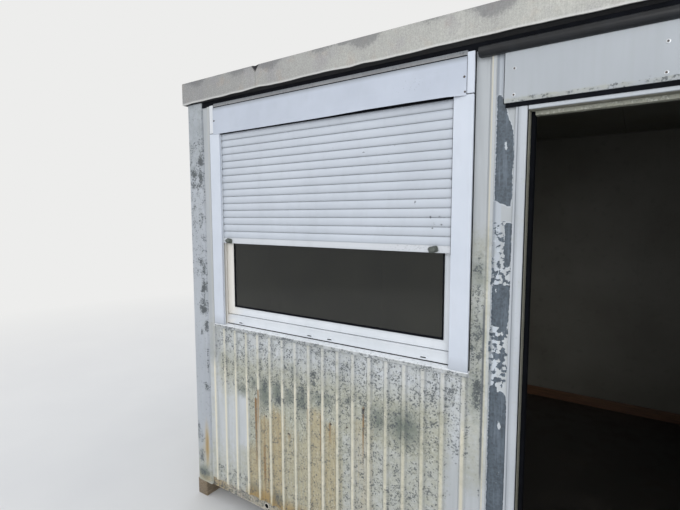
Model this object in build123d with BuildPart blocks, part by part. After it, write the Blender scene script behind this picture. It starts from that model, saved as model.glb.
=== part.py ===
from build123d import *
import os

os.makedirs("parts", exist_ok=True)

# A ten-foot steel site cabin: a window with a half-lowered roller shutter on the left of the
# front, an open doorway on the right, plain ribbed cladding on the other three sides.
# X runs along the front, +Y into the room, +Z up. The ground under the timber blocks is Z = 0,
# and the origin is the middle of the box round the cabin with its door standing open.

# Body: its length is that of the corner posts, the window and the door with the walls beside them
cabin_width = 2438.0
frame_height = 2500.0
block_height = 100.0
block_length = 85.0
block_depth = 240.0
block_proud = 10.0

# Frame
post_width = 130.0
wall_thickness = 80.0
base_rail_height = 120.0
fascia_height = 128.0
fascia_overhang = 20.0
seal_height = 30.0
seal_thickness = 14.0

# Floor, ceiling and roof
deck_thickness = 22.0
joist_width = 60.0
joist_height = 80.0
joist_count = 5
ceiling_thickness = 30.0
roof_sheet_thickness = 6.0
roof_sheet_drop = 36.0
roof_seam_height = 20.0
roof_seam_width = 24.0
roof_seam_count = 5

# Ribbed cladding
rib_pitch = 91.0
rib_crest = 15.0
rib_flank = 10.0
rib_depth = 9.0
rib_edge = 57.0
cladding_sheet = 3.0
cladding_bottom = 52.0

# Window with its shutter
window_to_post = 98.0
window_width = 1504.0
window_height = 1147.0
frame_member = 56.0
sash_member = 52.0
sash_setback = 10.0
sash_thickness = 46.0
glass_setback = 12.0
glass_thickness = 24.0
sill_front = 16.0
sill_rise = 7.0
sill_lip = 20.0
trim_width = 85.0
trim_thickness = 12.0
trim_overlap = 20.0
trim_top_width = 32.0
cover_height = 160.0
cover_drop = 5.0
cover_thickness = 14.0
guide_slot = 14.0
guide_wall = 3.0
guide_reach = 62.0
guide_slot_length = 38.0
slat_pitch = 40.0
slat_thickness = 10.0
slat_groove = 3.0
shutter_raised = 506.0
bottom_bar_height = 39.0
stop_width = 44.0
stop_height = 34.0
stop_depth = 26.0
stop_inset = 76.0
shutter_box_depth = 150.0

# Doorway
window_to_door = 216.0
door_clear_width = 810.0
door_to_post = 102.0
door_band = 36.0
door_stop = 15.0
threshold_height = 15.0
door_seal_thickness = 3.0
door_panel_overlap = 86.0
door_panel_height = 178.0
door_panel_thickness = 10.0
gutter_overlap = 182.0
gutter_height = 63.0
gutter_depth = 32.0
gutter_round = 14.0

# Door leaf, hinged on the right jamb and standing open at a right angle
leaf_thickness = 42.0
leaf_proud = 2.0
leaf_gap = 6.0
leaf_hinge_gap = 8.0
leaf_swing_gap = 10.0
leaf_edge_radius = 2.0
hinge_radius = 8.0
hinge_proud = 10.0
hinge_half = 50.0
hinge_gap = 0.3
hinge_plate = 32.0
hinge_plate_thickness = 3.0
hinge_inset = 140.0
hinge_count = 3
handle_height = 1030.0
handle_edge = 62.0
handle_plate_width = 42.0
handle_plate_height = 220.0
handle_plate_thickness = 5.0
handle_neck_radius = 9.0
handle_neck = 45.0
lever_length = 120.0
lever_height = 20.0
lever_thickness = 14.0

# Hairline between neighbours that share a node
hairline = 0.3

# Derived levels, from the ground. The window and the doorway hang from the top of the wall.
base_z = block_height
floor_z = base_z + base_rail_height
top_z = base_z + frame_height
fascia_z = top_z - fascia_height
wall_top_z = fascia_z - seal_height
cover_z = wall_top_z - cover_height
window_top_z = cover_z + cover_drop
window_z = window_top_z - window_height
sill_z = window_z + sill_lip
shutter_z = window_z + shutter_raised
gutter_low_z = fascia_z - gutter_height
lintel_z = gutter_low_z - door_panel_height
door_head_z = lintel_z - door_band
threshold_z = floor_z + threshold_height

# Derived places along the front, from the left end
window_left = post_width + window_to_post
window_right = window_left + window_width
door_left = window_right + window_to_door
door_right = door_left + door_clear_width
front_wall_end = door_left - door_band
right_strip_start = door_right + door_band
cabin_length = door_right + door_to_post + post_width
leaf_reach = door_clear_width - leaf_swing_gap
hinge_x = door_right

# Derived depths behind the front face of the posts
base_rail_setback = rib_depth + cladding_sheet
frame_face_depth = guide_slot + 2 * guide_wall
door_stop_depth = leaf_thickness - leaf_proud + leaf_gap

# With the door open the leaf is the foremost piece and the back fascia the rearmost one
open_front = hinge_proud + leaf_reach
open_back = cabin_width + fascia_overhang
front_y = (open_front - open_back) / 2


def along(x):
    """Model X of a place measured from the cabin's left end."""
    return x - cabin_length / 2


def inward(depth):
    """Model Y of a place measured inward from the front face of the posts."""
    return front_y + depth


def block(x, y, z):
    """Add a box, given as (low, high) pairs, to the piece being built."""
    with Locations((x[0], y[0], z[0])):
        Box(x[1] - x[0], y[1] - y[0], z[1] - z[0], align=(Align.MIN, Align.MIN, Align.MIN))


def front_block(x, depth, z):
    """Add a box on the front, with X from the left end and Y as depth behind the post face."""
    block((along(x[0]), along(x[1])), (inward(depth[0]), inward(depth[1])), z)


def face_plane(side, z):
    """Level plane of one side: X runs left to right seen from outside, Y inward."""
    corners = {
        "front": ((0.0, 0.0), (1, 0, 0)),
        "right": ((cabin_length, 0.0), (0, 1, 0)),
        "back": ((cabin_length, cabin_width), (-1, 0, 0)),
        "left": ((0.0, cabin_width), (0, -1, 0)),
    }
    (x, depth), direction = corners[side]
    return Plane(origin=(along(x), inward(depth), z), x_dir=direction, z_dir=(0, 0, 1))


def section_plane(x, depth):
    """Upright plane across the front: its X is depth from the given one, its Y is height."""
    return Plane(origin=(along(x), inward(depth), 0.0), x_dir=(0, 1, 0), z_dir=(1, 0, 0))


def side_length(side):
    """Length of a side between the outer faces of its corner posts."""
    return cabin_length if side in ("front", "back") else cabin_width


def rib_centres(first, end):
    """Rib centres from the first one on, as many as leave a whole flank before the end."""
    room = end - rib_crest / 2 - rib_flank - first
    return [first + number * rib_pitch for number in range(int(room // rib_pitch) + 1)]


def middle_first(start, end):
    """First rib centre of a run of ribs that sits in the middle of a plain wall."""
    gaps = int((end - start - 2 * rib_edge) // rib_pitch)
    return start + (end - start - gaps * rib_pitch) / 2


def ribbed_points(start, end, centres):
    """Outer line of the cladding between two places, cut off square at both ends."""
    line = []
    for centre in centres:
        line.append((centre - rib_crest / 2 - rib_flank, rib_depth))
        line.append((centre - rib_crest / 2, 0.0))
        line.append((centre + rib_crest / 2, 0.0))
        line.append((centre + rib_crest / 2 + rib_flank, rib_depth))

    def depth_at(place):
        for (left, near), (right, far) in zip(line, line[1:]):
            if left <= place <= right:
                return near + (far - near) * (place - left) / (right - left)
        return rib_depth

    inside = [point for point in line if start < point[0] < end]
    return [(start, depth_at(start))] + inside + [(end, depth_at(end))]


def ribbed_wall(side, start, end, centres, low, high, back):
    """Add a slab of wall with a ribbed outer face to the piece being built."""
    outline = ribbed_points(start, end, centres) + [(end, back), (start, back)]
    with BuildSketch(face_plane(side, low)) as section:
        with BuildLine():
            Polyline(*outline, close=True)
        make_face()
    extrude(section.sketch, amount=high - low)


def finish(piece, name):
    """Label a finished piece and write it."""
    piece.part.label = name
    export_step(piece.part, f"parts/{name}.step")


# Timber blocks under the corners
with BuildPart() as timber_blocks:
    for side_x in (-1, 1):
        for y_low in (inward(0.0), inward(cabin_width - block_depth)):
            outer = side_x * (cabin_length / 2 + block_proud)
            inner = outer - side_x * block_length
            block((min(outer, inner), max(outer, inner)), (y_low, y_low + block_depth), (0.0, base_z))
finish(timber_blocks, "timber_blocks")

# Base rails, set back behind the foot of the cladding
for side in ("front", "back", "left", "right"):
    with BuildPart() as base_rail:
        with BuildSketch(face_plane(side, base_z)):
            with BuildLine():
                Polyline(
                    (post_width, base_rail_setback),
                    (side_length(side) - post_width, base_rail_setback),
                    (side_length(side) - post_width, wall_thickness),
                    (post_width, wall_thickness),
                    close=True,
                )
            make_face()
        extrude(amount=base_rail_height)
    finish(base_rail, f"base_rail_{side}")

# Corner posts, an angle in plan
post_sides = {"front_left": "front", "front_right": "right", "back_right": "back", "back_left": "left"}
for name, side in post_sides.items():
    with BuildPart() as corner_post:
        with BuildSketch(face_plane(side, base_z)):
            with BuildLine():
                Polyline(
                    (0.0, 0.0),
                    (post_width, 0.0),
                    (post_width, wall_thickness),
                    (wall_thickness, wall_thickness),
                    (wall_thickness, post_width),
                    (0.0, post_width),
                    close=True,
                )
            make_face()
        extrude(amount=wall_top_z - base_z)
    finish(corner_post, f"corner_post_{name}")

# Floor joists between the long rails, and the deck on them
inner_x = (along(wall_thickness), along(cabin_length - wall_thickness))
inner_y = (inward(wall_thickness), inward(cabin_width - wall_thickness))
joist_step = (cabin_length - 2 * post_width - joist_width) / (joist_count - 1)
with BuildPart() as floor_joists:
    for number in range(joist_count):
        joist_x = along(post_width + number * joist_step)
        joist_top = floor_z - deck_thickness
        block((joist_x, joist_x + joist_width), inner_y, (joist_top - joist_height, joist_top))
finish(floor_joists, "floor_joists")

with BuildPart() as floor_deck:
    block(inner_x, inner_y, (floor_z - deck_thickness, floor_z))
finish(floor_deck, "floor_deck")

# Front wall: one piece under the window, strips beside it, pieces over and beside the door.
# Below the floor the cladding is a thin sheet in front of the base rail.
cladding_z = base_z + cladding_bottom
front_ribs = rib_centres(post_width + rib_edge, cabin_length - post_width)
left_ribs = rib_centres(post_width + rib_edge, front_wall_end)


def front_wall(start, end, low, high, back):
    """Add a slab of the front wall, its ribs in step; up to the door they stay whole."""
    ribs = left_ribs if end <= front_wall_end else front_ribs
    ribbed_wall("front", start, end, ribs, low, high, back)


with BuildPart() as front_wall_below_window:
    front_wall(post_width, front_wall_end, floor_z, window_z, wall_thickness)
    front_wall(post_width, front_wall_end, cladding_z, floor_z, base_rail_setback)
finish(front_wall_below_window, "front_wall_below_window")

with BuildPart() as front_wall_left:
    front_wall(post_width, window_left, window_z, wall_top_z, wall_thickness)
finish(front_wall_left, "front_wall_left")

with BuildPart() as front_wall_between:
    front_wall(window_right, front_wall_end, window_z, wall_top_z, wall_thickness)
finish(front_wall_between, "front_wall_between")

with BuildPart() as front_wall_over_door:
    front_wall(front_wall_end, right_strip_start, lintel_z, wall_top_z, wall_thickness)
finish(front_wall_over_door, "front_wall_over_door")

with BuildPart() as front_wall_right:
    right_end = cabin_length - post_width
    front_wall(right_strip_start, right_end, floor_z, wall_top_z, wall_thickness)
    front_wall(right_strip_start, right_end, cladding_z, floor_z, base_rail_setback)
finish(front_wall_right, "front_wall_right")

# Plain ribbed walls on the three other sides
for side in ("back", "left", "right"):
    wall_end = side_length(side) - post_width
    ribs = rib_centres(middle_first(post_width, wall_end), wall_end)
    with BuildPart() as plain_wall:
        ribbed_wall(side, post_width, wall_end, ribs, floor_z, wall_top_z, wall_thickness)
        ribbed_wall(side, post_width, wall_end, ribs, cladding_z, floor_z, base_rail_setback)
    finish(plain_wall, f"{side}_wall")

# Black seal under the roof frame, one strip a side
with BuildPart() as eaves_seal:
    for side in ("front", "back"):
        with BuildSketch(face_plane(side, wall_top_z)):
            with BuildLine():
                Polyline(
                    (0.0, 0.0),
                    (side_length(side), 0.0),
                    (side_length(side), seal_thickness),
                    (0.0, seal_thickness),
                    close=True,
                )
            make_face()
        extrude(amount=seal_height)
    for side in ("left", "right"):
        with BuildSketch(face_plane(side, wall_top_z)):
            with BuildLine():
                Polyline(
                    (seal_thickness + hairline, 0.0),
                    (side_length(side) - seal_thickness - hairline, 0.0),
                    (side_length(side) - seal_thickness - hairline, seal_thickness),
                    (seal_thickness + hairline, seal_thickness),
                    close=True,
                )
            make_face()
        extrude(amount=seal_height)
finish(eaves_seal, "eaves_seal")

# Roof rails: the fascia outside, the web that sits on the walls inside. The front and back
# rails run right through and the side rails fit between them.
for side in ("front", "back", "left", "right"):
    runs_through = side in ("front", "back")
    outer_start = -fascia_overhang if runs_through else wall_thickness
    web_start = seal_thickness if runs_through else wall_thickness
    with BuildPart() as roof_rail:
        with BuildSketch(face_plane(side, fascia_z)):
            with BuildLine():
                Polyline(
                    (outer_start, -fascia_overhang),
                    (side_length(side) - outer_start, -fascia_overhang),
                    (side_length(side) - outer_start, wall_thickness),
                    (outer_start, wall_thickness),
                    close=True,
                )
            make_face()
        extrude(amount=fascia_height)
        with BuildSketch(face_plane(side, wall_top_z)):
            with BuildLine():
                Polyline(
                    (web_start, seal_thickness),
                    (side_length(side) - web_start, seal_thickness),
                    (side_length(side) - web_start, wall_thickness),
                    (web_start, wall_thickness),
                    close=True,
                )
            make_face()
        extrude(amount=seal_height)
    finish(roof_rail, f"roof_rail_{side}")

with BuildPart() as ceiling_panel:
    block(inner_x, inner_y, (wall_top_z, wall_top_z + ceiling_thickness))
finish(ceiling_panel, "ceiling_panel")

# Roof sheet with standing seams, sunk behind the rim of the rails
roof_z = top_z - roof_sheet_drop
seam_step = (cabin_length - 2 * wall_thickness) / (roof_seam_count + 1)
with BuildPart() as roof_sheet:
    block(inner_x, inner_y, (roof_z - roof_sheet_thickness, roof_z))
    for number in range(1, roof_seam_count + 1):
        seam_x = along(wall_thickness + number * seam_step) - roof_seam_width / 2
        block((seam_x, seam_x + roof_seam_width), inner_y, (roof_z, roof_z + roof_seam_height))
finish(roof_sheet, "roof_sheet")


def ring(outer_x, outer_z, member, depth):
    """Add four bars round an opening: two full-height stiles and two rails between them."""
    inner = (outer_x[0] + member, outer_x[1] - member)
    front_block((outer_x[0], inner[0]), depth, outer_z)
    front_block((inner[1], outer_x[1]), depth, outer_z)
    between = (inner[0] + hairline, inner[1] - hairline)
    front_block(between, depth, (outer_z[0], outer_z[0] + member))
    front_block(between, depth, (outer_z[1] - member, outer_z[1]))


# Window frame: its bottom bar is taller, because the sill butts against its lower part
sill_rear_z = sill_z + sill_rise
frame_inner_x = (window_left + frame_member, window_right - frame_member)
frame_inner_z = (sill_rear_z + frame_member, window_top_z - frame_member)
frame_depth = (frame_face_depth, wall_thickness)
with BuildPart() as window_frame:
    front_block((window_left, frame_inner_x[0]), frame_depth, (window_z, window_top_z))
    front_block((frame_inner_x[1], window_right), frame_depth, (window_z, window_top_z))
    between_stiles = (frame_inner_x[0] + hairline, frame_inner_x[1] - hairline)
    front_block(between_stiles, frame_depth, (window_z, frame_inner_z[0]))
    front_block(between_stiles, frame_depth, (frame_inner_z[1], window_top_z))
finish(window_frame, "window_frame")

sash_face = frame_face_depth + sash_setback
with BuildPart() as window_sash:
    ring(frame_inner_x, frame_inner_z, sash_member, (sash_face, sash_face + sash_thickness))
finish(window_sash, "window_sash")

glass_face = sash_face + glass_setback
with BuildPart() as window_glass:
    front_block(
        (frame_inner_x[0] + sash_member, frame_inner_x[1] - sash_member),
        (glass_face, glass_face + glass_thickness),
        (frame_inner_z[0] + sash_member, frame_inner_z[1] - sash_member),
    )
finish(window_glass, "window_glass")

# Sill, falling outward to a lip that runs past the window on both sides
sill_x = (window_left - trim_overlap, window_right + trim_overlap)
sill_edge_z = sill_z + sill_rise * sill_front / (sill_front + frame_face_depth)
with BuildPart() as window_sill:
    with BuildSketch(section_plane(sill_x[0], 0.0)):
        with BuildLine():
            Polyline(
                (0.0, sill_edge_z),
                (-sill_front, sill_z),
                (-sill_front, window_z),
                (0.0, window_z),
                close=True,
            )
        make_face()
    extrude(amount=sill_x[1] - sill_x[0])
    with BuildSketch(section_plane(window_left, 0.0)):
        with BuildLine():
            Polyline(
                (frame_face_depth, sill_rear_z),
                (0.0, sill_edge_z),
                (0.0, window_z),
                (frame_face_depth, window_z),
                close=True,
            )
        make_face()
    extrude(amount=window_width)
finish(window_sill, "window_sill")

# Cover strips beside the shutter, narrower beside the cover of the shutter box
with BuildPart() as window_trims:
    for outer, direction in ((window_left - trim_overlap, 1), (window_right + trim_overlap, -1)):
        wide = sorted((outer, outer + direction * trim_width))
        narrow = sorted((outer, outer + direction * trim_top_width))
        front_block(wide, (-trim_thickness, 0.0), (sill_edge_z, cover_z))
        front_block(narrow, (-trim_thickness, 0.0), (cover_z, wall_top_z))
finish(window_trims, "window_trims")

cover_x = (sill_x[0] + trim_top_width, sill_x[1] - trim_top_width)
with BuildPart() as shutter_box_cover:
    front_block(cover_x, (-cover_thickness, 0.0), (cover_z, wall_top_z))
finish(shutter_box_cover, "shutter_box_cover")

box_depths = (frame_face_depth, frame_face_depth + shutter_box_depth)
with BuildPart() as shutter_box:
    front_block((window_left, window_right), box_depths, (window_top_z, wall_top_z))
finish(shutter_box, "shutter_box")

# Guides, channels whose slots face each other
guide_z = (sill_rear_z, wall_top_z)
with BuildPart() as shutter_guides:
    for outer, direction in ((window_left, 1), (window_right, -1)):
        reach = sorted((outer, outer + direction * guide_reach))
        front_block(reach, (0.0, frame_face_depth), guide_z)
    for outer, direction in ((window_left, 1), (window_right, -1)):
        mouth = outer + direction * guide_reach
        slot = sorted((mouth, mouth - direction * guide_slot_length))
        with Locations((along(slot[0]), inward(guide_wall), guide_z[0])):
            Box(
                slot[1] - slot[0],
                guide_slot,
                guide_z[1] - guide_z[0],
                align=(Align.MIN, Align.MIN, Align.MIN),
                mode=Mode.SUBTRACT,
            )
finish(shutter_guides, "shutter_guides")

# Shutter curtain: slats with a shallow groove at each joint
slat_face = guide_wall + (guide_slot - slat_thickness) / 2
curtain_inset = guide_reach - guide_slot_length / 2
curtain_x = (window_left + curtain_inset, window_right - curtain_inset)
curtain_low = shutter_z + bottom_bar_height
slat_count = int((wall_top_z - curtain_low) // slat_pitch)
with BuildPart() as shutter_curtain:
    with BuildSketch(section_plane(curtain_x[0], slat_face)):
        for number in range(slat_count):
            slat_low = curtain_low + number * slat_pitch
            with BuildLine():
                Polyline(
                    (slat_thickness, slat_low),
                    (slat_groove, slat_low),
                    (0.0, slat_low + slat_groove),
                    (0.0, slat_low + slat_pitch - 2 * slat_groove),
                    (slat_groove, slat_low + slat_pitch),
                    (slat_thickness, slat_low + slat_pitch),
                    close=True,
                )
            make_face()
    extrude(amount=curtain_x[1] - curtain_x[0])
finish(shutter_curtain, "shutter_curtain")

bar_face = guide_wall + hairline
with BuildPart() as shutter_bottom_bar:
    front_block(curtain_x, (bar_face, guide_wall + guide_slot - hairline), (shutter_z, curtain_low))
finish(shutter_bottom_bar, "shutter_bottom_bar")

with BuildPart() as shutter_stops:
    for centre in (window_left + guide_reach + stop_inset, window_right - guide_reach - stop_inset):
        front_block(
            (centre - stop_width / 2, centre + stop_width / 2),
            (bar_face - stop_depth, bar_face),
            (shutter_z, shutter_z + stop_height),
        )
finish(shutter_stops, "shutter_stops")

# Door frame: two jambs with their stops, the head between them, the threshold and its apron
jamb_z = (floor_z, lintel_z)
with BuildPart() as door_frame:
    for outer, direction in ((front_wall_end, 1), (right_strip_start, -1)):
        band = sorted((outer, outer + direction * door_band))
        with_stop = sorted((outer, outer + direction * (door_band + door_stop)))
        front_block(band, (0.0, door_stop_depth), jamb_z)
        front_block(with_stop, (door_stop_depth, wall_thickness), jamb_z)
    between_bands = (door_left + hairline, door_right - hairline)
    between_stops = (door_left + door_stop + hairline, door_right - door_stop - hairline)
    cross_depth = door_stop_depth - hairline
    front_block(between_bands, (0.0, cross_depth), (door_head_z, jamb_z[1]))
    front_block(between_stops, (cross_depth, wall_thickness), (door_head_z - door_stop, jamb_z[1]))
    front_block(between_bands, (0.0, cross_depth), (floor_z, threshold_z))
    front_block(between_stops, (cross_depth, wall_thickness), (floor_z, threshold_z))
    between_walls = (front_wall_end + hairline, right_strip_start - hairline)
    front_block(between_walls, (0.0, base_rail_setback), (cladding_z, floor_z - hairline))
finish(door_frame, "door_frame")

# Rubber seal on the inner sides of the bands and under the head
seal_depths = (leaf_gap, door_stop_depth - hairline)
with BuildPart() as door_seal:
    side_seal_z = (threshold_z + hairline, door_head_z - hairline)
    front_block((door_left, door_left + door_seal_thickness), seal_depths, side_seal_z)
    front_block((door_right - door_seal_thickness, door_right), seal_depths, side_seal_z)
    front_block(
        (door_left + door_seal_thickness + hairline, door_right - door_seal_thickness - hairline),
        seal_depths,
        (door_head_z - door_seal_thickness, door_head_z),
    )
finish(door_seal, "door_seal")

# Flat cover over the door, and the dark rail above it that sheds the rain
door_middle = door_left + door_clear_width / 2
panel_half = door_clear_width / 2 + door_panel_overlap
with BuildPart() as door_header_panel:
    front_block(
        (door_middle - panel_half, door_middle + panel_half),
        (-door_panel_thickness, 0.0),
        (lintel_z, gutter_low_z),
    )
finish(door_header_panel, "door_header_panel")

gutter_half = door_clear_width / 2 + gutter_overlap
gutter_x = (door_middle - gutter_half, door_middle + gutter_half)
with BuildPart() as door_gutter:
    front_block(gutter_x, (-gutter_depth, 0.0), (gutter_low_z, fascia_z))
    front_edges = door_gutter.edges().filter_by(Axis.X).group_by(Axis.Y)[0]
    fillet(front_edges, radius=gutter_round)
finish(door_gutter, "door_gutter")

# Door leaf, drawn open: it stands square to the front, its hinge edge at the right jamb.
# Across is measured from the hinge axis toward the doorway, out from it toward the viewer.
hinge_y = inward(-hinge_proud)
leaf_near = hinge_proud - leaf_proud
leaf_far = leaf_near + leaf_thickness
leaf_x = (along(hinge_x) - leaf_far, along(hinge_x) - leaf_near)
leaf_y = (hinge_y - leaf_reach, hinge_y - leaf_hinge_gap)
leaf_z = (threshold_z + leaf_gap, door_head_z - door_seal_thickness - leaf_gap)
with BuildPart() as door_leaf:
    block(leaf_x, leaf_y, leaf_z)
    fillet(door_leaf.edges().filter_by(Axis.Z), radius=leaf_edge_radius)
finish(door_leaf, "door_leaf")

# Lever handles on both faces
handle_y = leaf_y[0] + handle_edge
handle_z = floor_z + handle_height
with BuildPart() as door_handles:
    for face, direction in ((leaf_x[0], -1), (leaf_x[1], 1)):
        plate_x = sorted((face, face + direction * handle_plate_thickness))
        block(
            plate_x,
            (handle_y - handle_plate_width / 2, handle_y + handle_plate_width / 2),
            (handle_z - handle_plate_height / 2, handle_z + handle_plate_height / 2),
        )
        neck_end = face + direction * (handle_plate_thickness + handle_neck)
        with BuildSketch(Plane(origin=(face, handle_y, handle_z), z_dir=(direction, 0, 0))):
            Circle(handle_neck_radius)
        extrude(amount=handle_plate_thickness + handle_neck)
        lever_x = sorted((neck_end, neck_end - direction * lever_thickness))
        block(
            lever_x,
            (handle_y - handle_neck_radius, handle_y + lever_length),
            (handle_z - lever_height / 2, handle_z + lever_height / 2),
        )
finish(door_handles, "door_handles")

# Lift-off hinges: the lower half on the frame, the upper half on the leaf
lowest_hinge_z = leaf_z[0] + hinge_inset
highest_hinge_z = leaf_z[1] - hinge_inset - 2 * hinge_half - hinge_gap
hinge_step = (highest_hinge_z - lowest_hinge_z) / (hinge_count - 1)
hinge_levels = [lowest_hinge_z + number * hinge_step for number in range(hinge_count)]
with BuildPart() as door_hinges_frame:
    for low in hinge_levels:
        with BuildSketch(Plane.XY.offset(low)):
            with Locations((along(hinge_x), hinge_y)):
                Circle(hinge_radius)
        extrude(amount=hinge_half)
        plate_x = (hinge_x, hinge_x + hinge_plate)
        front_block(plate_x, (-hinge_plate_thickness, 0.0), (low, low + hinge_half))
finish(door_hinges_frame, "door_hinges_frame")

with BuildPart() as door_hinges_leaf:
    for frame_low in hinge_levels:
        low = frame_low + hinge_half + hinge_gap
        with BuildSketch(Plane.XY.offset(low)):
            with Locations((along(hinge_x), hinge_y)):
                Circle(hinge_radius)
        extrude(amount=hinge_half)
        plate_x = (leaf_x[1], leaf_x[1] + hinge_plate_thickness)
        block(plate_x, (hinge_y - hinge_plate - leaf_hinge_gap, hinge_y), (low, low + hinge_half))
finish(door_hinges_leaf, "door_hinges_leaf")
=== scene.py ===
import math

import bmesh
import bpy
import numpy as np
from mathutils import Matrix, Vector


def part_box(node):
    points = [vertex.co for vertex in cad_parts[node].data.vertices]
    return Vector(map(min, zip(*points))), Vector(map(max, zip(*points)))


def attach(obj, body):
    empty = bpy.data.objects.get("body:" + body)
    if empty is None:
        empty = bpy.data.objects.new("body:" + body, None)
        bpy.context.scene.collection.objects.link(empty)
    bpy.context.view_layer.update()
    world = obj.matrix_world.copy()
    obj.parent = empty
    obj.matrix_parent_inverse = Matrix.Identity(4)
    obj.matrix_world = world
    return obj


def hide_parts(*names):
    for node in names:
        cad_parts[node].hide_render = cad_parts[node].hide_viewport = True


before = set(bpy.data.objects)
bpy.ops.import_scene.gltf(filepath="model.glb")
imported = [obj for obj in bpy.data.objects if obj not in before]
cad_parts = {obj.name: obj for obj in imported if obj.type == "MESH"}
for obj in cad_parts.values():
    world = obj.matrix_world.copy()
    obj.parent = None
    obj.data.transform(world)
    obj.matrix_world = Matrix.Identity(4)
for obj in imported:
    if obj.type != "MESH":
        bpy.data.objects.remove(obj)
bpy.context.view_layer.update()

# Sizes are millimetres in the cabin's own front frame: x from its left end, depth behind the
# front face of the corner posts, z above the foot of the steel frame. place() turns them into
# the shared frame in metres.
MM = 0.001
LEFT_X, FRONT_Y, BASE_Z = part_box("corner_post_front_left")[0]
CABIN_LENGTH = (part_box("corner_post_front_right")[1].x - LEFT_X) / MM
CABIN_WIDTH = (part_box("corner_post_back_left")[1].y - FRONT_Y) / MM
SIDES = {"front": CABIN_LENGTH, "back": CABIN_LENGTH, "left": CABIN_WIDTH, "right": CABIN_WIDTH}


def place(x, depth, z):
    """Point of the shared frame for a place given in the cabin's front frame."""
    return Vector((LEFT_X + x * MM, FRONT_Y + depth * MM, BASE_Z + z * MM))


def span(node):
    """A node's box in the cabin's front frame: (low, high) pairs of x, depth and z."""
    zeros = (LEFT_X, FRONT_Y, BASE_Z)
    return [((low - zero) / MM, (high - zero) / MM) for low, high, zero in zip(*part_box(node), zeros)]


def on_side(side, a, depth, z):
    """Front-frame place of a point on one side: a runs left to right seen from outside."""
    if side == "front":
        return a, depth, z
    if side == "right":
        return CABIN_LENGTH - depth, a, z
    if side == "back":
        return CABIN_LENGTH - a, CABIN_WIDTH - depth, z
    return depth, CABIN_WIDTH - a, z


# Levels and widths read from the frame
POST_WIDTH = span("corner_post_front_left")[0][1]
POST_LOW = span("corner_post_front_left")[2][0]
FASCIA_LOW = span("eaves_seal")[2][1]
TOP = span("roof_rail_front")[2][1]
OVERHANG = -span("roof_rail_front")[1][0]
WALL_THICKNESS = span("back_wall")[1][1] - span("back_wall")[1][0]
FLOOR = span("floor_deck")[2][1]
CLADDING_LOW = span("front_wall_below_window")[2][0]
FRAME_FACE = span("window_frame")[1][0]
COVER_LOW = span("shutter_box_cover")[2][0]

# Ribbed cladding
RIB_PITCH = 91.0
RIB_CREST = 15.0
RIB_FLANK = 10.0
RIB_DEPTH = 9.0
RIB_EDGE = 57.0
RIB_FOOT = RIB_CREST / 2 + RIB_FLANK
FRONT_RIB_EDGE = 52.5
FIRST_RIB = POST_WIDTH + FRONT_RIB_EDGE
SHEET_THICKNESS = 2.5
COLUMNS_PER_PITCH = 20


# Making meshes from shapes, each a (points, faces) pair in the cabin's front frame


def woven(order, columns, closed=False):
    """Faces between rows of points taken in that order, each row a closed line. Closed joins the
    last row to the first, and otherwise both ends are capped."""
    faces = []
    for row, after in zip(order, order[1:] + order[:1] if closed else order[1:]):
        for column in range(columns):
            beside = (column + 1) % columns
            here, there = row * columns, after * columns
            faces.append([here + column, here + beside, there + beside, there + column])
    if not closed:
        faces += [[row * columns + column for column in range(columns)] for row in (order[0], order[-1])]
    return faces


def stations(low, high, longest=None):
    """Evenly spaced places from low to high, no further apart than the given length."""
    parts = max(1, math.ceil((high - low) / longest)) if longest else 1
    return [low + (high - low) * part / parts for part in range(parts + 1)]


def rectangle(u, v):
    """Corners of a rectangle given as (low, high) pairs."""
    return [(u[0], v[0]), (u[1], v[0]), (u[1], v[1]), (u[0], v[1])]


def rounded(outline, radius, steps=3):
    """A closed outline with each corner rounded; radius is one number or one for each corner.
    A point close beside each round keeps the flat face next to it flat in the shading."""
    corners = [Vector(point) for point in outline]
    radii = radius if isinstance(radius, list) else [radius] * len(corners)
    neighbours = zip(corners[-1:] + corners[:-1], corners[1:] + corners[:1])
    result = []
    for here, (last, following), size in zip(corners, neighbours, radii):
        if size <= 0:
            result.append(tuple(here))
            continue
        before = last - here
        after = following - here
        cut = min(size / math.tan(before.angle(after) / 2), 0.45 * before.length, 0.45 * after.length)
        flat = 0.04 * min(before.length, after.length)
        start = here + before.normalized() * cut
        end = here + after.normalized() * cut
        result.append(tuple(start + before.normalized() * flat))
        for step in range(steps + 1):
            t = step / steps
            result.append(tuple(start * (1 - t) ** 2 + here * 2 * t * (1 - t) + end * t**2))
        result.append(tuple(end + after.normalized() * flat))
    return result


def divided(outline, longest):
    """A closed outline with extra points, so that no stretch is longer than the given length."""
    result = []
    for here, following in zip(map(Vector, outline), map(Vector, outline[1:] + outline[:1])):
        parts = max(1, math.ceil((following - here).length / longest))
        result += [tuple(here.lerp(following, part / parts)) for part in range(parts)]
    return result


def prism(outline, runs, carry, ease=0.0):
    """A closed outline carried along a run of places, with both ends capped. Ease draws the two
    end faces in a little, so that the ends have eased edges too."""
    rows = list(range(len(runs)))
    inner = [runs[0] + ease, *runs[1:-1], runs[-1] - ease]
    points = [carry(u, v, w) for w in inner for u, v in outline]
    if not ease:
        return points, woven(rows, len(outline))
    middle_u, middle_v = (sum(values) / len(outline) for values in zip(*outline))
    shrink_u = max(0.0, 1 - ease / max(abs(u - middle_u) for u, _ in outline))
    shrink_v = max(0.0, 1 - ease / max(abs(v - middle_v) for _, v in outline))
    small = [(middle_u + (u - middle_u) * shrink_u, middle_v + (v - middle_v) * shrink_v) for u, v in outline]
    points += [carry(u, v, w) for w in (runs[0], runs[-1]) for u, v in small]
    return points, woven([len(runs), *rows, len(runs) + 1], len(outline))


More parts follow.
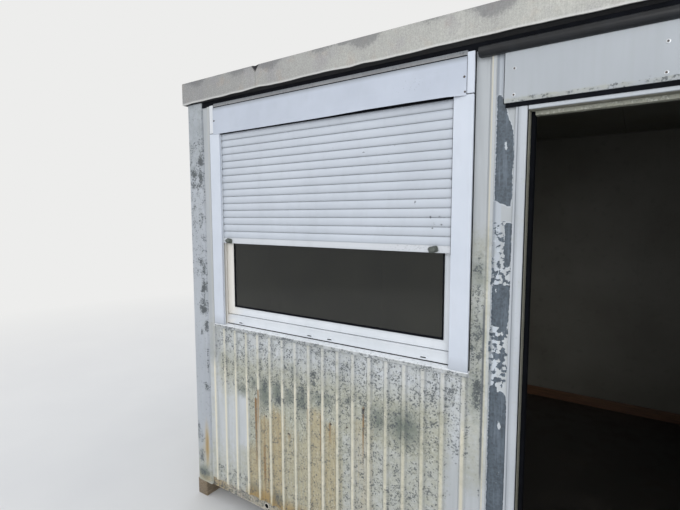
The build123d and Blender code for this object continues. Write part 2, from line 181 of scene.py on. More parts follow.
def swept(axis, outline, low, high, longest=None, side="front", ease=0.0):
    """A prism along x, depth or z of a side: its outline has the other two, in that order."""
    order = {"x": (2, 0, 1), "depth": (0, 2, 1), "z": (0, 1, 2)}[axis]

    def carry(*uvw):
        """The outline's two measures and the place along it, put in the order x, depth, z."""
        return on_side(side, *(uvw[index] for index in order))

    return prism(outline, stations(low, high, longest), carry, ease)


def bar(x, depth, z, edge=1.5, longest=None):
    """A straight bar with eased edges, carried along its longest side."""
    sides = {"x": x, "depth": depth, "z": z}
    axis = max(sides, key=lambda name: sides[name][1] - sides[name][0])
    low, high = sides.pop(axis)
    outline = rounded(rectangle(*sides.values()), edge)
    if longest and longest < high - low:
        outline = divided(outline, longest)
    return swept(axis, outline, low, high, longest, ease=edge)


def ring(x, z, profile, longest=None):
    """A mitred frame round a rectangle: the profile is a closed line of (inset, depth) points."""
    corners = [(0, 0), (1, 0), (1, 1), (0, 1)]

    def inward(corner, inset):
        """A corner of the rectangle, moved in by the inset."""
        right, top = corner
        return Vector((x[right] + inset * (1 - 2 * right), z[top] + inset * (1 - 2 * top)))

    points = []
    for number, (corner, following) in enumerate(zip(corners, corners[1:] + corners[:1])):
        length = (x[1] - x[0]) if number % 2 == 0 else (z[1] - z[0])
        shares = [0.0]
        if longest:
            shares = sorted(stations(0.0, 1.0, longest / length)[:-1] + [2.0 / length, 1 - 2.0 / length])
        for share in shares:
            for inset, depth in profile:
                spot = inward(corner, inset).lerp(inward(following, inset), share)
                points.append((spot.x, depth, spot.y))
    return points, woven(list(range(len(points) // len(profile))), len(profile), closed=True)


def tube(path, radii, sides=12, flat=1.0):
    """A round bar along a line of places, closed at both ends; flat squeezes it vertically."""
    points = []
    for index, (spot, radius) in enumerate(zip(path, radii)):
        way = (Vector(path[min(index + 1, len(path) - 1)]) - Vector(path[max(index - 1, 0)])).normalized()
        aside = (way.orthogonal() if abs(way.z) > 0.9 else way.cross(Vector((0, 0, 1)))).normalized()
        upward = aside.cross(way).normalized() * flat
        for angle in np.linspace(0, 2 * math.pi, sides + 1)[:-1]:
            points.append(tuple(Vector(spot) + (aside * math.cos(angle) + upward * math.sin(angle)) * radius))
    return points, woven(list(range(len(path))), sides)


def link(name, mesh):
    """A new object in the scene for a finished mesh."""
    piece = bpy.data.objects.new(name, mesh)
    bpy.context.scene.collection.objects.link(piece)
    return piece


def outward(mesh):
    """Turn all faces of a closed mesh outwards."""
    work = bmesh.new()
    work.from_mesh(mesh)
    bmesh.ops.recalc_face_normals(work, faces=work.faces)
    work.to_mesh(mesh)
    work.free()


def mesh_of(name, shapes):
    """One mesh of several shapes, its sizes still in millimetres."""
    points = []
    faces = []
    for shape_points, shape_faces in shapes:
        faces += [[len(points) + index for index in face] for face in shape_faces]
        points += shape_points
    mesh = bpy.data.meshes.new(name)
    mesh.from_pydata(points, [], faces)
    outward(mesh)
    return mesh


def settle(name, mesh, angle=35.0, side="front", start=0.0, low=0.0):
    """Bring a mesh in a side's millimetres into the shared frame as an object. Its shading is
    smooth, and sharp where faces meet at more than the angle."""
    for vertex in mesh.vertices:
        x, depth, z = vertex.co
        vertex.co = place(*on_side(side, start + x, depth, low + z))
    outward(mesh)
    mesh.shade_smooth()
    mesh.set_sharp_from_angle(angle=math.radians(angle))
    return link(name, mesh)


def places_of(piece, side="front"):
    """How far along its side and how deep each point of a piece is, and its height."""
    flat = np.zeros(len(piece.data.vertices) * 3)
    piece.data.vertices.foreach_get("co", flat)
    x, y, z = ((flat.reshape(-1, 3) - np.array((LEFT_X, FRONT_Y, BASE_Z))) / MM).T
    places = {"front": (x, y), "right": (y, CABIN_LENGTH - x), "back": (CABIN_LENGTH - x, CABIN_WIDTH - y)}
    return *places.get(side, (CABIN_WIDTH - y, x)), z


def finish(piece, material, slot, *nodes, body="cabin", side="front", wear=None):
    """Give a piece its material and body, hide the nodes that it stands for, and set its wear:
    numbers by name for its points, or a function of their places that returns them; these
    also carry painted light and shade. The slot is not used."""
    shares = wear(*places_of(piece, side)) if callable(wear) else (wear or {})
    for name, values in {**EVEN_WEAR.get(material.name, {}), **shares}.items():
        layer = piece.data.attributes.new(name, "FLOAT", "POINT")
        layer.data.foreach_set("value", np.broadcast_to(values, len(piece.data.vertices)).astype(np.float32))
    if not piece.data.materials:
        piece.data.materials.append(material)
    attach(piece, body)
    if nodes:
        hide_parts(*nodes)


def make(name, shapes, material, slot, *nodes, angle=35.0, **finishing):
    """A finished piece straight from its shapes."""
    finish(settle(name, mesh_of(name, shapes), angle), material, slot, *nodes, **finishing)


# Node trees and materials

# Light, even wear of a material's pieces, where they don't say otherwise
EVEN_WEAR = {}


def linear(code):
    """Linear colour from an sRGB hex value such as #A0B1C2."""
    shares = [int(code[start : start + 2], 16) / 255 for start in (1, 3, 5)]
    return [n / 12.92 if n <= 0.04045 else ((n + 0.055) / 1.055) ** 2.4 for n in shares] + [1.0]


def add(tree, kind, *values, extra=None, **named):
    """Add one node; a shader node's kind goes without its first word. Values go to its inputs in
    order, and extra ones by number. Of the rest, small names are settings and capital ones
    inputs. A value is a plain one, a socket, or a node that stands for its first output."""
    node = tree.nodes.new(kind if "Node" in kind else "ShaderNode" + kind)
    inputs = {**dict(enumerate(values)), **(extra or {})}
    for name, value in named.items():
        if name[0].islower():
            setattr(node, name, value)
        else:
            inputs[name.replace("_", " ")] = value
    for name, value in inputs.items():
        if isinstance(value, bpy.types.Node):
            value = value.outputs[0]
        if isinstance(value, bpy.types.NodeSocket):
            tree.links.new(value, node.inputs[name])
        else:
            node.inputs[name].default_value = value
    return node


def start_material(name, **constants):
    """A new material with these constants on its shader, and its piece's own coordinates."""
    material = bpy.data.materials.new(name)
    material.use_nodes = True
    for socket, value in constants.items():
        material.node_tree.nodes["Principled BSDF"].inputs[socket.replace("_", " ")].default_value = value
    return material, add(material.node_tree, "TexCoord").outputs["Object"]


def patches(at, size, low, high, detail=3.0, stretch=(1, 1, 1)):
    """Share from 0 to 1 of soft irregular patches, their size given in millimetres."""
    tree = at.id_data
    mapped = add(tree, "Mapping", Vector=at, Scale=stretch)
    noise = add(tree, "TexNoise", Vector=mapped, Scale=1 / (size * MM), Detail=detail)
    return add(tree, "MapRange", noise, low, high)


def grown(at, amount, size, reach, low, high):
    """Share of specks that stand closer together, the greater the amount at that place."""
    tree = at.id_data
    noise = add(tree, "TexNoise", Vector=at, Scale=1 / (size * MM), Detail=4.0, Roughness=0.72)
    raised = add(tree, "Math", amount, reach, noise, operation="MULTIPLY_ADD")
    return add(tree, "MapRange", raised, low, high)


def speckled(at, amount, share, size):
    """Share of single grains scattered at random: their number grows with the amount squared."""
    tree = at.id_data
    ruffle = add(tree, "TexNoise", Vector=at, Scale=1 / (size * MM)).outputs["Color"]
    moved = add(tree, "VectorMath", ruffle, [size * MM] * 3, at, operation="MULTIPLY_ADD")
    cells = add(tree, "TexVoronoi", Vector=moved, Scale=1 / (size * MM))
    lot = add(tree, "SeparateColor", cells.outputs["Color"])
    squared = add(tree, "Math", amount, amount, operation="MULTIPLY")
    over = add(tree, "Math", squared, share, operation="MULTIPLY")
    left = add(tree, "Math", over, lot, operation="SUBTRACT")
    return add(tree, "MapRange", left, 0.0, 0.12)


def coats(base, *layers):
    """A colour built up coat on coat: each layer is its share, its full strength and its colour."""
    colour = linear(base)
    for share, strength, coat in layers:
        tree = share.id_data
        cover = add(tree, "Math", share, strength, operation="MULTIPLY", use_clamp=True)
        colour = add(tree, "Mix", cover, extra={6: colour, 7: linear(coat)}, data_type="RGBA").outputs[2]
    return colour


def surface(material, colour, gloss, height, distance):
    """Link colour and relief: gloss is one roughness, or a share and the two it goes between.
    Distance is the height in millimetres of a full share of relief."""
    tree = material.node_tree
    shader = tree.nodes["Principled BSDF"].inputs
    tree.links.new(colour, shader["Base Color"])
    if isinstance(gloss, tuple):
        share, smooth, rough = gloss
        ranged = add(tree, "MapRange", share, To_Min=smooth, To_Max=rough)
        tree.links.new(ranged.outputs[0], shader["Roughness"])
    else:
        shader["Roughness"].default_value = gloss
    relief = add(tree, "Bump", Height=height, Distance=distance * MM, Strength=1.0)
    tree.links.new(relief.outputs[0], shader["Normal"])
    return material


def torn_edge(at, bare, ragged):
    """Where a paint film has come off: shares of its bright lip and of the bare metal. The film
    ends in a torn line, and where it is ragged whole angular flakes of it are gone or left."""
    tree = at.id_data
    noise = add(tree, "TexNoise", Vector=at, Scale=1 / (9 * MM), Detail=4.0, Roughness=0.7)
    centred = add(tree, "Math", noise, 0.5, operation="SUBTRACT")
    torn = add(tree, "Math", centred, 16.0, bare, operation="MULTIPLY_ADD")
    wander = add(tree, "VectorMath", at, centred, operation="ADD")
    bent = add(tree, "Mix", 0.02, extra={4: at, 5: wander}, data_type="VECTOR").outputs[1]
    flakes = add(tree, "TexVoronoi", Vector=bent, Scale=1 / (13 * MM)).outputs["Color"]
    loose = add(tree, "Math", flakes, 0.5, operation="SUBTRACT")
    swing = add(tree, "Math", ragged, 70.0, operation="MULTIPLY")
    edge = add(tree, "Math", loose, swing, torn, operation="MULTIPLY_ADD")
    return add(tree, "MapRange", edge, -5.0, -1.0), add(tree, "MapRange", edge, -0.6, 0.6)


def coated_steel(name, paint, shadow, cream="#CFCDC1"):
    """Coil-coated steel sheet: a thin matt paint film, chalked, with a grey-beige film of dirt,
    mildew specks grown on it, tan dust run down it by the rain, rust from its screws and, where
    the film has come off, bare zinc. Over this lie painted light and shade: a cream painted
    highlight on crests, a bluish painted light on one rib's flank, and painted shade in folds."""
    material, at = start_material(name)
    EVEN_WEAR[name] = {"mildew": 0.06, "dust": 0.1, "bare": -99.0}
    tree = material.node_tree
    names = "crest", "washed", "film", "dust", "green", "rust", "mildew", "crease", "bare", "ragged"
    shares = [add(tree, "Attribute", attribute_name=name).outputs["Fac"] for name in names]
    crest, washed, film, dust, green, rust, mildew, crease, bare, ragged = shares
    drawn = add(tree, "Mapping", Vector=at, Scale=(1, 1, 0.07))
    broad = patches(at, 420, 0.35, 0.68)
    spread = add(tree, "Math", patches(at, 45, 0.34, 0.66), 0.8, 0.6, operation="MULTIPLY_ADD")
    spotted = add(tree, "Math", mildew, spread, operation="MULTIPLY")
    specks = speckled(at, spotted, 0.95, 7)
    colour = coats(
        paint,
        (broad, 1.0, shadow),
        (patches(drawn, 20, 0.42, 0.68, 4.0), 0.25, "#999E9F"),
        # Cream crest share: a painted highlight on rib crests over paint the rain keeps paler, a painted
        # highlight on the lifting hole rim, and pale worn spots on the base rails
        (crest, 1.0, cream),
        # Bluish painted light on the crest and right flank of the rib beside the door
        (washed, 1.0, "#BCC3CB"),
        (grown(at, film, 34, 1.0, 0.7, 1.3), 0.9, "#A3A392"),
        (speckled(at, film, 0.25, 6.5), 0.45, "#D0D1CA"),
        (grown(drawn, dust, 12, 2.2, 1.1, 2.2), 1.0, "#AF9A68"),
        (grown(drawn, dust, 6, 3.0, 1.9, 2.6), 0.5, "#8A6A36"),
        (grown(at, green, 30, 1.4, 0.85, 1.75), 0.95, "#687068"),
        (speckled(at, film, 0.3, 6), 0.42, "#6C6E62"),
        (grown(drawn, rust, 10, 1.8, 1.05, 1.9), 0.95, "#7C5A2B"),
        (grown(at, spotted, 34, 1.2, 0.95, 1.9), 0.5, "#6B7271"),
        (specks, 0.75, "#484E52"),
        (speckled(at, spotted, 0.7, 5), 0.6, "#3F4447"),
        # Bluish grey painted shade on rib flanks and folds, the upper wall, the post's lip, the sill's front
        # and the strip under the rim; also dirt in the folds and a dark joint at the door band's edge
        (crease, 0.85, "#5A6067"),
    )
    zinc = coats(
        "#404952",
        (add(tree, "TexVoronoi", Vector=at, Scale=1 / (9 * MM)), 1.0, "#57626C"),
        (patches(at, 14, 0.46, 0.7), 0.8, "#384047"),
        (patches(drawn, 9, 0.5, 0.7), 0.5, "#707B87"),
    )
    lip, metal = torn_edge(at, bare, ragged)
    lipped = add(tree, "Math", lip, 0.6, operation="MULTIPLY")
    edged = add(tree, "Mix", lipped, extra={6: colour, 7: linear("#C2C9D0")}, data_type="RGBA").outputs[2]
    peeled = add(tree, "Mix", metal, extra={6: edged, 7: zinc}, data_type="RGBA").outputs[2]
    relief = add(tree, "Math", metal, -0.8, specks, operation="MULTIPLY_ADD")
    return surface(material, peeled, (broad, 0.42, 0.62), relief, 0.3)


def weathered_fascia(name):
    """Painted steel edge of the roof: its film is worn to a sandy, lichen-spotted grey, paler
    where the rain keeps it clean, with faint rust and violet grey showing through. Its lower
    edge carries a painted highlight, its underside and torn notch painted shade, and the
    joints of its lengths dark lines."""
    material, at = start_material(name)
    tree = material.node_tree
    names = "clean", "mildew", "crest", "crease"
    shares = [add(tree, "Attribute", attribute_name=name).outputs["Fac"] for name in names]
    clean, mildew, crest, crease = shares
    drawn = add(tree, "Mapping", Vector=at, Scale=(1, 1, 0.12))
    sand = patches(at, 9, 0.35, 0.68)
    colour = coats(
        "#8F8F8E",
        (clean, 1.0, "#C0C0B8"),
        (patches(at, 300, 0.36, 0.66), 0.35, "#8F8F90"),
        (patches(at, 70, 0.54, 0.72), 0.24, "#B39B86"),
        (patches(at, 110, 0.5, 0.68), 0.3, "#908D96"),
        (sand, 0.24, "#6F6E6C"),
        (patches(drawn, 5, 0.44, 0.62), 0.2, "#807F7C"),
        (patches(at, 5, 0.5, 0.66), 0.2, "#D6D5CF"),
        (patches(at, 4, 0.5, 0.66), 0.26, "#64635F"),
        (grown(at, mildew, 60, 1.2, 0.9, 1.7), 0.35, "#77777A"),
        (grown(at, mildew, 12, 3.0, 2.1, 2.4), 0.45, "#55565A"),
        # Painted highlight along the rim's lower edge
        (crest, 0.75, "#CFCFCC"),
        # Near black: painted shade on the underside and in the torn notch, and the dark joints of the lengths
        (crease, 1.0, "#121319"),
    )
    return surface(material, colour, 0.78, sand, 0.5)


def window_plastic(name, white, shadow):
    """Extruded hard PVC: smooth, softly glossy, with thin grey dirt left in patches. A warm
    cream tint is painted light on the lit members at the window's left, with a faint
    yellowing elsewhere, and a dark grey share is painted shade on slats, end bar and box
    cover, besides the lines and grime on the frames."""
    material, at = start_material(name)
    tree = material.node_tree
    names = "aged", "crease", "specks"
    shares = [add(tree, "Attribute", attribute_name=name).outputs["Fac"] for name in names]
    warm_tint_share, crease, specks = shares
    smear = patches(at, 35, 0.5, 0.72, 4.0, (1, 1, 0.3))
    colour = coats(
        white,
        (patches(at, 240, 0.35, 0.65), 1.0, shadow),
        # Warm cream: painted light on the window's lit left members, and a faint yellowing elsewhere
        (warm_tint_share, 1.0, "#EAE3D6"),
        (smear, 0.07, "#9A9D9C"),
        # Dark grey: painted shade on slats, end bar and box cover, lines and grime on the frames, and a
        # darkening at the strips' foot
        (crease, 0.85, "#4F5354"),
        (grown(at, specks, 7, 0.42, 0.74, 0.82), 0.85, "#44474A"),
    )
    return surface(material, colour, (smear, 0.3, 0.5), patches(at, 60, 0.3, 0.7), 0.12)


def window_pane(name):
    """Float glass of an insulating unit: clear, faintly green, with a film of dust."""
    material, at = start_material(name, Transmission_Weight=0.94, IOR=1.52)
    film = patches(at, 180, 0.3, 0.75, 4.0)
    return surface(material, coats("#61624F", (film, 1.0, "#4A4B3C")), (film, 0.02, 0.07), film, 0.01)


def black_rubber(name, fresh, worn, roughness=0.7, gleam=0.5):
    """Extruded rubber or soft PVC: matt black with a grey bloom where it is worn."""
    material, at = start_material(name, Specular_IOR_Level=gleam)
    colour = coats(fresh, (patches(at, 45, 0.42, 0.7, 4.0), 1.0, worn))
    return surface(material, colour, roughness, patches(at, 3, 0.3, 0.7), 0.1)


def galvanised_steel(name, light, dark, roughness=0.5):
    """Hot-dip zinc on steel: dull grey with crystals a centimetre across and white bloom."""
    material, at = start_material(name, Metallic=0.75)
    spangle = add(at.id_data, "TexVoronoi", Vector=at, Scale=1 / (14 * MM))
    bloom = patches(at, 120, 0.5, 0.74, 4.0)
    colour = coats(dark, (spangle, 1.0, light), (bloom, 0.6, "#9DA1A3"))
    return surface(material, colour, (bloom, roughness, 0.8), spangle, 0.15)


def sawn_timber(name):
    """Rough sawn softwood left outdoors: pinkish brown, greyed, with open grain and cracks."""
    material, at = start_material(name)
    grain = patches(at, 6, 0.34, 0.66, 5.0, (1, 0.08, 1))
    cracks = patches(at, 7, 0.56, 0.66, 4.0, (1, 0.06, 1))
    greyed = patches(at, 60, 0.42, 0.66, 4.0)
    colour = coats("#564939", (grain, 1.0, "#988973"), (greyed, 0.6, "#7F7668"), (cracks, 0.7, "#3A2E25"))
    return surface(material, colour, 0.85, grain, 1.2)


def sheet_floor(name):
    """Vinyl sheet floor: dark grey with fine flecks, scuffed dull along the way in."""
    material, at = start_material(name)
    flecks = patches(at, 4, 0.52, 0.64, 2.0)
    scuffs = patches(at, 140, 0.45, 0.72, 5.0)
    colour = coats("#2A2826", (flecks, 1.0, "#4A4744"), (scuffs, 0.35, "#5B564E"))
    return surface(material, colour, (scuffs, 0.35, 0.65), flecks, 0.08)


def lining_board(name):
    """Melamine-faced board of the inner walls: smooth and off-white, painted a dark grey-beige as the shade
    of the dim room, with darker patches and scuffs.
    """
    material, at = start_material(name)
    aged = patches(at, 500, 0.35, 0.7, 4.0)
    scuffs = patches(at, 50, 0.58, 0.75, 5.0)
    colour = coats("#747269", (aged, 1.0, "#656258"), (scuffs, 0.3, "#504E46"))
    return surface(material, colour, 0.5, patches(at, 5, 0.3, 0.7), 0.06)


def stained_wood(name):
    """Brown wood-grain laminate of the skirting."""
    material, at = start_material(name)
    grain = patches(at, 9, 0.3, 0.7, 5.0, (0.06, 0.06, 1))
    return surface(material, coats("#4A3120", (grain, 1.0, "#6E4C31")), 0.45, grain, 0.1)


def satin_aluminium(name):
    """Anodised aluminium of the handles and hinges: satin, brushed along its length."""
    material, at = start_material(name, Metallic=1.0)
    brushed = patches(at, 2.5, 0.3, 0.7, 3.0, (1, 0.05, 1))
    return surface(material, coats("#9C9C9B", (brushed, 1.0, "#B9B9B7")), 0.36, brushed, 0.03)


def rusty_screws(name):
    """Zinc-plated screw heads gone brown: dull metal under a crust of rust."""
    material, at = start_material(name, Metallic=0.5)
    crust = patches(at, 4, 0.35, 0.6, 4.0)
    return surface(material, coats("#5E6062", (crust, 1.0, "#4A3524")), 0.6, crust, 0.2)


CLADDING = coated_steel("coated steel cladding", "#BEC2C5", "#B5B9BB", "#D9D2BA")
POSTS = coated_steel("coated steel posts", "#ABB0B6", "#A0A5AC")
DOOR_PAINT = coated_steel("coated steel door", "#B7BCC2", "#ADB2B8")
PANEL_PAINT = coated_steel("coated steel header panel", "#A6ABB0", "#9EA3A8")
# Near white, brightened as painted light on the sill's top, which sits in shade under the window
SILL_PAINT = coated_steel("coated steel sill", "#F1F4F7", "#E8ECEF")
# Dark grey: the cover's pale paint painted in shade, for the strip under the rim
STRIP_SHADED_PAINT = coated_steel("coated steel box strip in painted shade", "#7F7F80", "#787879")
BASE_PAINT = coated_steel("coated steel base rail", "#A59C91", "#8F877D", "#C9C4B8")
FASCIA_PAINT = weathered_fascia("weathered roof edge steel")
PLASTIC = window_plastic("hard white window plastic", "#D8DCE1", "#CFD4D9")
SLAT_PLASTIC = window_plastic("shutter slat plastic", "#C0C7D1", "#BAC1CB")
COVER_SHEET = window_plastic("white coated cover sheet", "#C7CDD7", "#C1C8D2")
BOX_SHEET = window_plastic("white coated box sheet", "#B5BCC8", "#ADB4C0")
PANE = window_pane("window pane glass")
# Black of the seals, also used for black strips of painted shadow in gaps, slots and holes
BLACK_RUBBER_AND_SHADOW = black_rubber("black sealing rubber and painted shadow", "#090B10", "#101218", 0.85, 0.1)
STOP_RUBBER = black_rubber("grey stop rubber", "#4B504C", "#626760", 0.6)
GUTTER_PLASTIC = black_rubber("black gutter plastic", "#0B0D11", "#15181D", 0.4, 0.42)
JAMB_SEAL = black_rubber("olive grey door seal", "#7E7D72", "#8B8A7F", 0.6, 0.3)
ZINC = galvanised_steel("galvanised roof sheet", "#8B9196", "#70767B")
JOIST_STEEL = galvanised_steel("galvanised joist steel", "#7C8184", "#5F6467", 0.6)
TIMBER = sawn_timber("sawn block timber")
FLOOR_SHEET = sheet_floor("vinyl sheet floor")
SHADED_LINING = lining_board("melamine lining board in painted shade")
SKIRTING = stained_wood("brown skirting laminate")
ALUMINIUM = satin_aluminium("satin handle aluminium")
SCREW_METAL = rusty_screws("rusty screw heads")
WASHER_METAL = galvanised_steel("zinc screw washers", "#C9CDD0", "#A9ADB1", 0.45)


# Dirt and wear, and painted light and shade, as numbers on the points of a mesh


def ramp(values, start, end):
    """Share that goes from 0 at the start to 1 at the end."""
    return np.clip((values - start) / (end - start), 0, 1)


def window(values, low, high, soft):
    """Share that is 1 between low and high and falls to 0 over a soft stretch outside them."""
    return np.clip(1 - np.maximum(low - values, values - high) / soft, 0, 1)


def strongest(*shares):
    """The greatest share at each place."""
    return np.maximum.reduce(shares)


def blots(a, z, stains):
    """Strength at each place of soft oval stains: (a, z, half width, half height, strength)."""
    return strongest(*(most * np.exp(-(((a - x) / half) ** 2 + ((z - y) / tall) ** 2))
                       for x, y, half, tall, most in stains))


def soft_boxes(a, z, boxes):
    """Strength of stains with an even middle: (a from, a to, z from, z to, soft edge, strength)."""
    return strongest(*(most * window(a, left, right, soft) * window(z, bottom, top, 2.5 * soft)
                       for left, right, bottom, top, soft, most in boxes))


def runs_down(a, z, streaks):
    """Strength of stains that run down from a point: (a, top z, bottom z, half width, strength)."""
    shares = []
    for x, top, bottom, half, most in streaks:
        down = ramp(z, bottom, top) * ramp(z, top + 8, top - 8)
        shares.append(most * np.exp(-(((a - x) / half) ** 2)) * down**0.7)
    return strongest(*shares)


def inside_by(a, z, outline):
    """Distance in millimetres inside a closed outline, negative outside it."""
    nearest = np.full(len(a), 1e9)
    inside = np.zeros(len(a), dtype=bool)
    for (a0, z0), (a1, z1) in zip(outline, outline[1:] + outline[:1]):
        wide, tall = a1 - a0, z1 - z0
        along = np.clip(((a - a0) * wide + (z - z0) * tall) / (wide**2 + tall**2), 0, 1)
        nearest = np.minimum(nearest, np.hypot(a - a0 - along * wide, z - z0 - along * tall))
        inside ^= ((z0 > z) != (z1 > z)) & (a < a0 + (z - z0) * wide / (tall or 1e-9))
    return np.where(inside, nearest, -nearest)


# Dirt on the front cladding, read off the photo as places on the wall: mildew in ovals, then in
# soft boxes
FRONT_MILDEW = [
    (415, 905, 24, 85, 0.6), (410, 665, 34, 40, 0.5), (505, 830, 40, 90, 0.5), (590, 745, 32, 50, 0.9),
    (590, 640, 34, 60, 0.8), (690, 790, 34, 50, 0.8), (690, 690, 34, 60, 0.85), (745, 870, 18, 110, 0.75),
    (775, 735, 30, 60, 0.65), (800, 870, 34, 80, 0.7), (862, 780, 32, 120, 0.85),
    (940, 880, 20, 110, 0.9), (960, 775, 34, 60, 0.65), (1050, 755, 34, 60, 0.75),
    (1050, 900, 30, 60, 0.5), (1122, 920, 22, 100, 0.9), (1150, 800, 34, 36, 0.65),
    (1240, 765, 12, 40, 1.0), (1310, 760, 40, 80, 0.65), (1420, 740, 60, 90, 0.6),
    (1430, 430, 60, 90, 0.6), (1500, 420, 50, 100, 0.6), (1440, 960, 30, 70, 0.5),
    (1525, 1000, 40, 40, 0.6), (1600, 920, 32, 110, 0.65), (1600, 795, 34, 26, 0.9),
    (1680, 930, 26, 90, 0.9), (1776, 1480, 30, 90, 0.6), (1776, 1370, 32, 90, 0.75),
    (1776, 1180, 34, 120, 0.95), (1784, 980, 30, 120, 0.9), (1804, 800, 9, 110, 0.85),
    (1800, 560, 8, 60, 0.6), (440, 142, 46, 14, 0.85), (520, 140, 36, 12, 0.8), (690, 100, 60, 46, 0.9),
    (800, 150, 30, 16, 0.7), (930, 166, 40, 14, 0.85),
]
FRONT_SPECKS = [
    (240, 1740, 690, 1040, 60, 0.47), (470, 1640, -100, 690, 80, 0.38), (1100, 1640, 100, 660, 80, 0.44),
    (200, 460, -100, 120, 60, 0.5), (200, 460, 640, 1040, 60, 0.3),
]
# Greenish grey haze
FRONT_GREEN = [
    (420, 680, 56, 56, 0.7), (510, 750, 46, 50, 0.7), (590, 700, 42, 110, 1.0), (685, 725, 44, 90, 0.9),
    (775, 725, 44, 60, 0.8), (800, 880, 50, 70, 0.5), (860, 720, 46, 90, 0.9), (990, 760, 110, 56, 0.65),
    (1150, 790, 46, 26, 0.6), (1320, 740, 56, 90, 0.8), (1460, 740, 100, 110, 0.95),
    (500, 110, 60, 50, 0.6), (690, 110, 80, 60, 0.65), (1780, 1470, 46, 110, 0.65),
    (1780, 1240, 46, 170, 0.6), (1780, 980, 46, 160, 0.65),
]
# Rust that runs down, mostly from screws, and rusty ovals
FRONT_RUST = [
    (455, 660, 200, 10, 0.4), (518, 660, 40, 10, 1.0), (529, 660, 120, 10, 0.8), (546, 720, 60, 10, 0.8),
    (585, 575, -260, 14, 0.5), (611, 560, -260, 11, 0.45), (660, 640, 0, 6, 0.45),
    (690, 620, -40, 9, 0.55), (770, 516, 430, 22, 0.6), (906, 700, 360, 8, 0.55), (985, 680, 20, 9, 0.7),
    (1042, 652, 400, 10, 0.75), (1075, 650, 160, 7, 0.45), (1215, 700, 60, 8, 0.45),
    (1241, 785, 360, 7, 1.0), (1256, 700, 260, 6, 0.45),
]
FRONT_RUSTY = [(583, 270, 15, 230, 0.75), (612, 240, 10, 200, 0.55), (655, 300, 8, 200, 0.35)]
# Grey-beige film of dirt, tan dust that was washed down, and the places the rain keeps clean
FRONT_FILM = [
    (150, 460, 300, 1040, 60, 0.36), (150, 460, -100, 300, 80, 0.6), (470, 1110, -100, 640, 50, 0.85),
    (1090, 1640, -100, 640, 50, 0.6), (240, 1640, 640, 830, 80, 0.75), (240, 1740, 830, 1040, 60, 0.28),
    (1740, 1815, 600, 1600, 50, 0.55),
]
FRONT_DUST = [
    (470, 540, -50, 330, 60, 0.5), (560, 625, -50, 540, 40, 0.5), (640, 730, -50, 600, 50, 0.52),
    (640, 1100, -50, 470, 120, 0.4), (900, 1000, 60, 680, 40, 0.48), (1020, 1090, 160, 620, 40, 0.48),
    (1185, 1290, 160, 700, 50, 0.36), (1290, 1640, -50, 400, 120, 0.15),
]
FRONT_CLEAN = [
    (376, 448, 390, 620, 30, 0.9), (1655, 1722, -100, 780, 30, 0.15), (200, 350, 300, 620, 60, 0.5),
]
POST_MILDEW = [
    (95, 2150, 20, 60, 0.45), (100, 2030, 30, 60, 0.8), (45, 1960, 36, 50, 0.85), (105, 1940, 26, 50, 0.85),
    (60, 1890, 60, 26, 0.75), (40, 1770, 26, 60, 0.6), (108, 1700, 16, 36, 0.8), (90, 1630, 36, 50, 0.55),
    (60, 1500, 30, 60, 0.35), (85, 1430, 22, 26, 0.75), (108, 1380, 20, 40, 0.8), (104, 1270, 30, 56, 0.95),
    (98, 1150, 36, 60, 1.0), (72, 1140, 20, 40, 0.7), (112, 1030, 18, 50, 0.9), (72, 985, 14, 26, 0.6),
    (120, 800, 9, 90, 0.75), (104, 640, 22, 30, 0.85), (16, 340, 20, 60, 0.7), (40, 300, 40, 60, 0.5),
    (36, 170, 40, 60, 0.6), (60, 60, 60, 36, 0.6),
]

# Outlines of the bare zinc beside the door, and of the flakes of paint left on it
BARE_PATCHES = [
    [(1834, 2166), (1850, 2160), (1864, 2130), (1868, 2104), (1878, 2070), (1890, 2040), (1897, 2010),
     (1900, 1930), (1896, 1870), (1899, 1800), (1893, 1736), (1868, 1748), (1834, 1764)],
    [(1860, 1668), (1876, 1679), (1902, 1675), (1900, 1600), (1901, 1540), (1897, 1500), (1880, 1499),
     (1864, 1512), (1874, 1532), (1871, 1596), (1868, 1640)],
    [(1834, 1494), (1856, 1497), (1862, 1484), (1852, 1468), (1834, 1472)],
    [(1872, 1482), (1886, 1485), (1898, 1470), (1892, 1450), (1876, 1456)],
    [(1834, 1440), (1864, 1445), (1900, 1436), (1901, 1378), (1898, 1300), (1890, 1234), (1878, 1228),
     (1872, 1250), (1860, 1262), (1834, 1268)],
    [(1834, 1228), (1853, 1224), (1860, 1192), (1852, 1164), (1834, 1168)],
    [(1868, 1216), (1880, 1206), (1891, 1180), (1880, 1170), (1869, 1190)],
    [(1850, 1146), (1864, 1156), (1892, 1162), (1888, 1140), (1868, 1130), (1852, 1134)],
    [(1862, 1122), (1874, 1120), (1882, 1106), (1868, 1100)],
    [(1886, 1110), (1897, 1104), (1896, 1084), (1884, 1090)],
    [(1834, 1036), (1852, 1048), (1861, 1022), (1866, 998), (1880, 1008), (1897, 992), (1901, 930),
     (1903, 860), (1904, 760), (1902, 600), (1899, 430), (1895, 250), (1880, 96), (1834, 90)],
]
PAINT_FLAKES = [
    [(1868, 1992), (1874, 1976), (1872, 1953), (1866, 1958), (1865, 1976)],
    [(1871, 890), (1878, 872), (1883, 858), (1876, 842), (1866, 862), (1871, 872)],
    [(1886, 910), (1891, 905), (1887, 900)],
    [(1875, 662), (1881, 667), (1878, 656)],
    [(1868, 620), (1874, 621), (1871, 611)],
    [(1846, 1420), (1851, 1410), (1848, 1395)],
]
# Stretches where the film is cracked into loose flakes: z from and to, x from and to, and how
# far the bare metal has got, in millimetres
FLAKING = [(1499, 1675, 1832, 1872, -6.0), (1442, 1499, 1832, 1898, -1.0), (1150, 1250, 1832, 1896, -1.0),
           (1030, 1150, 1832, 1892, -9.0)]


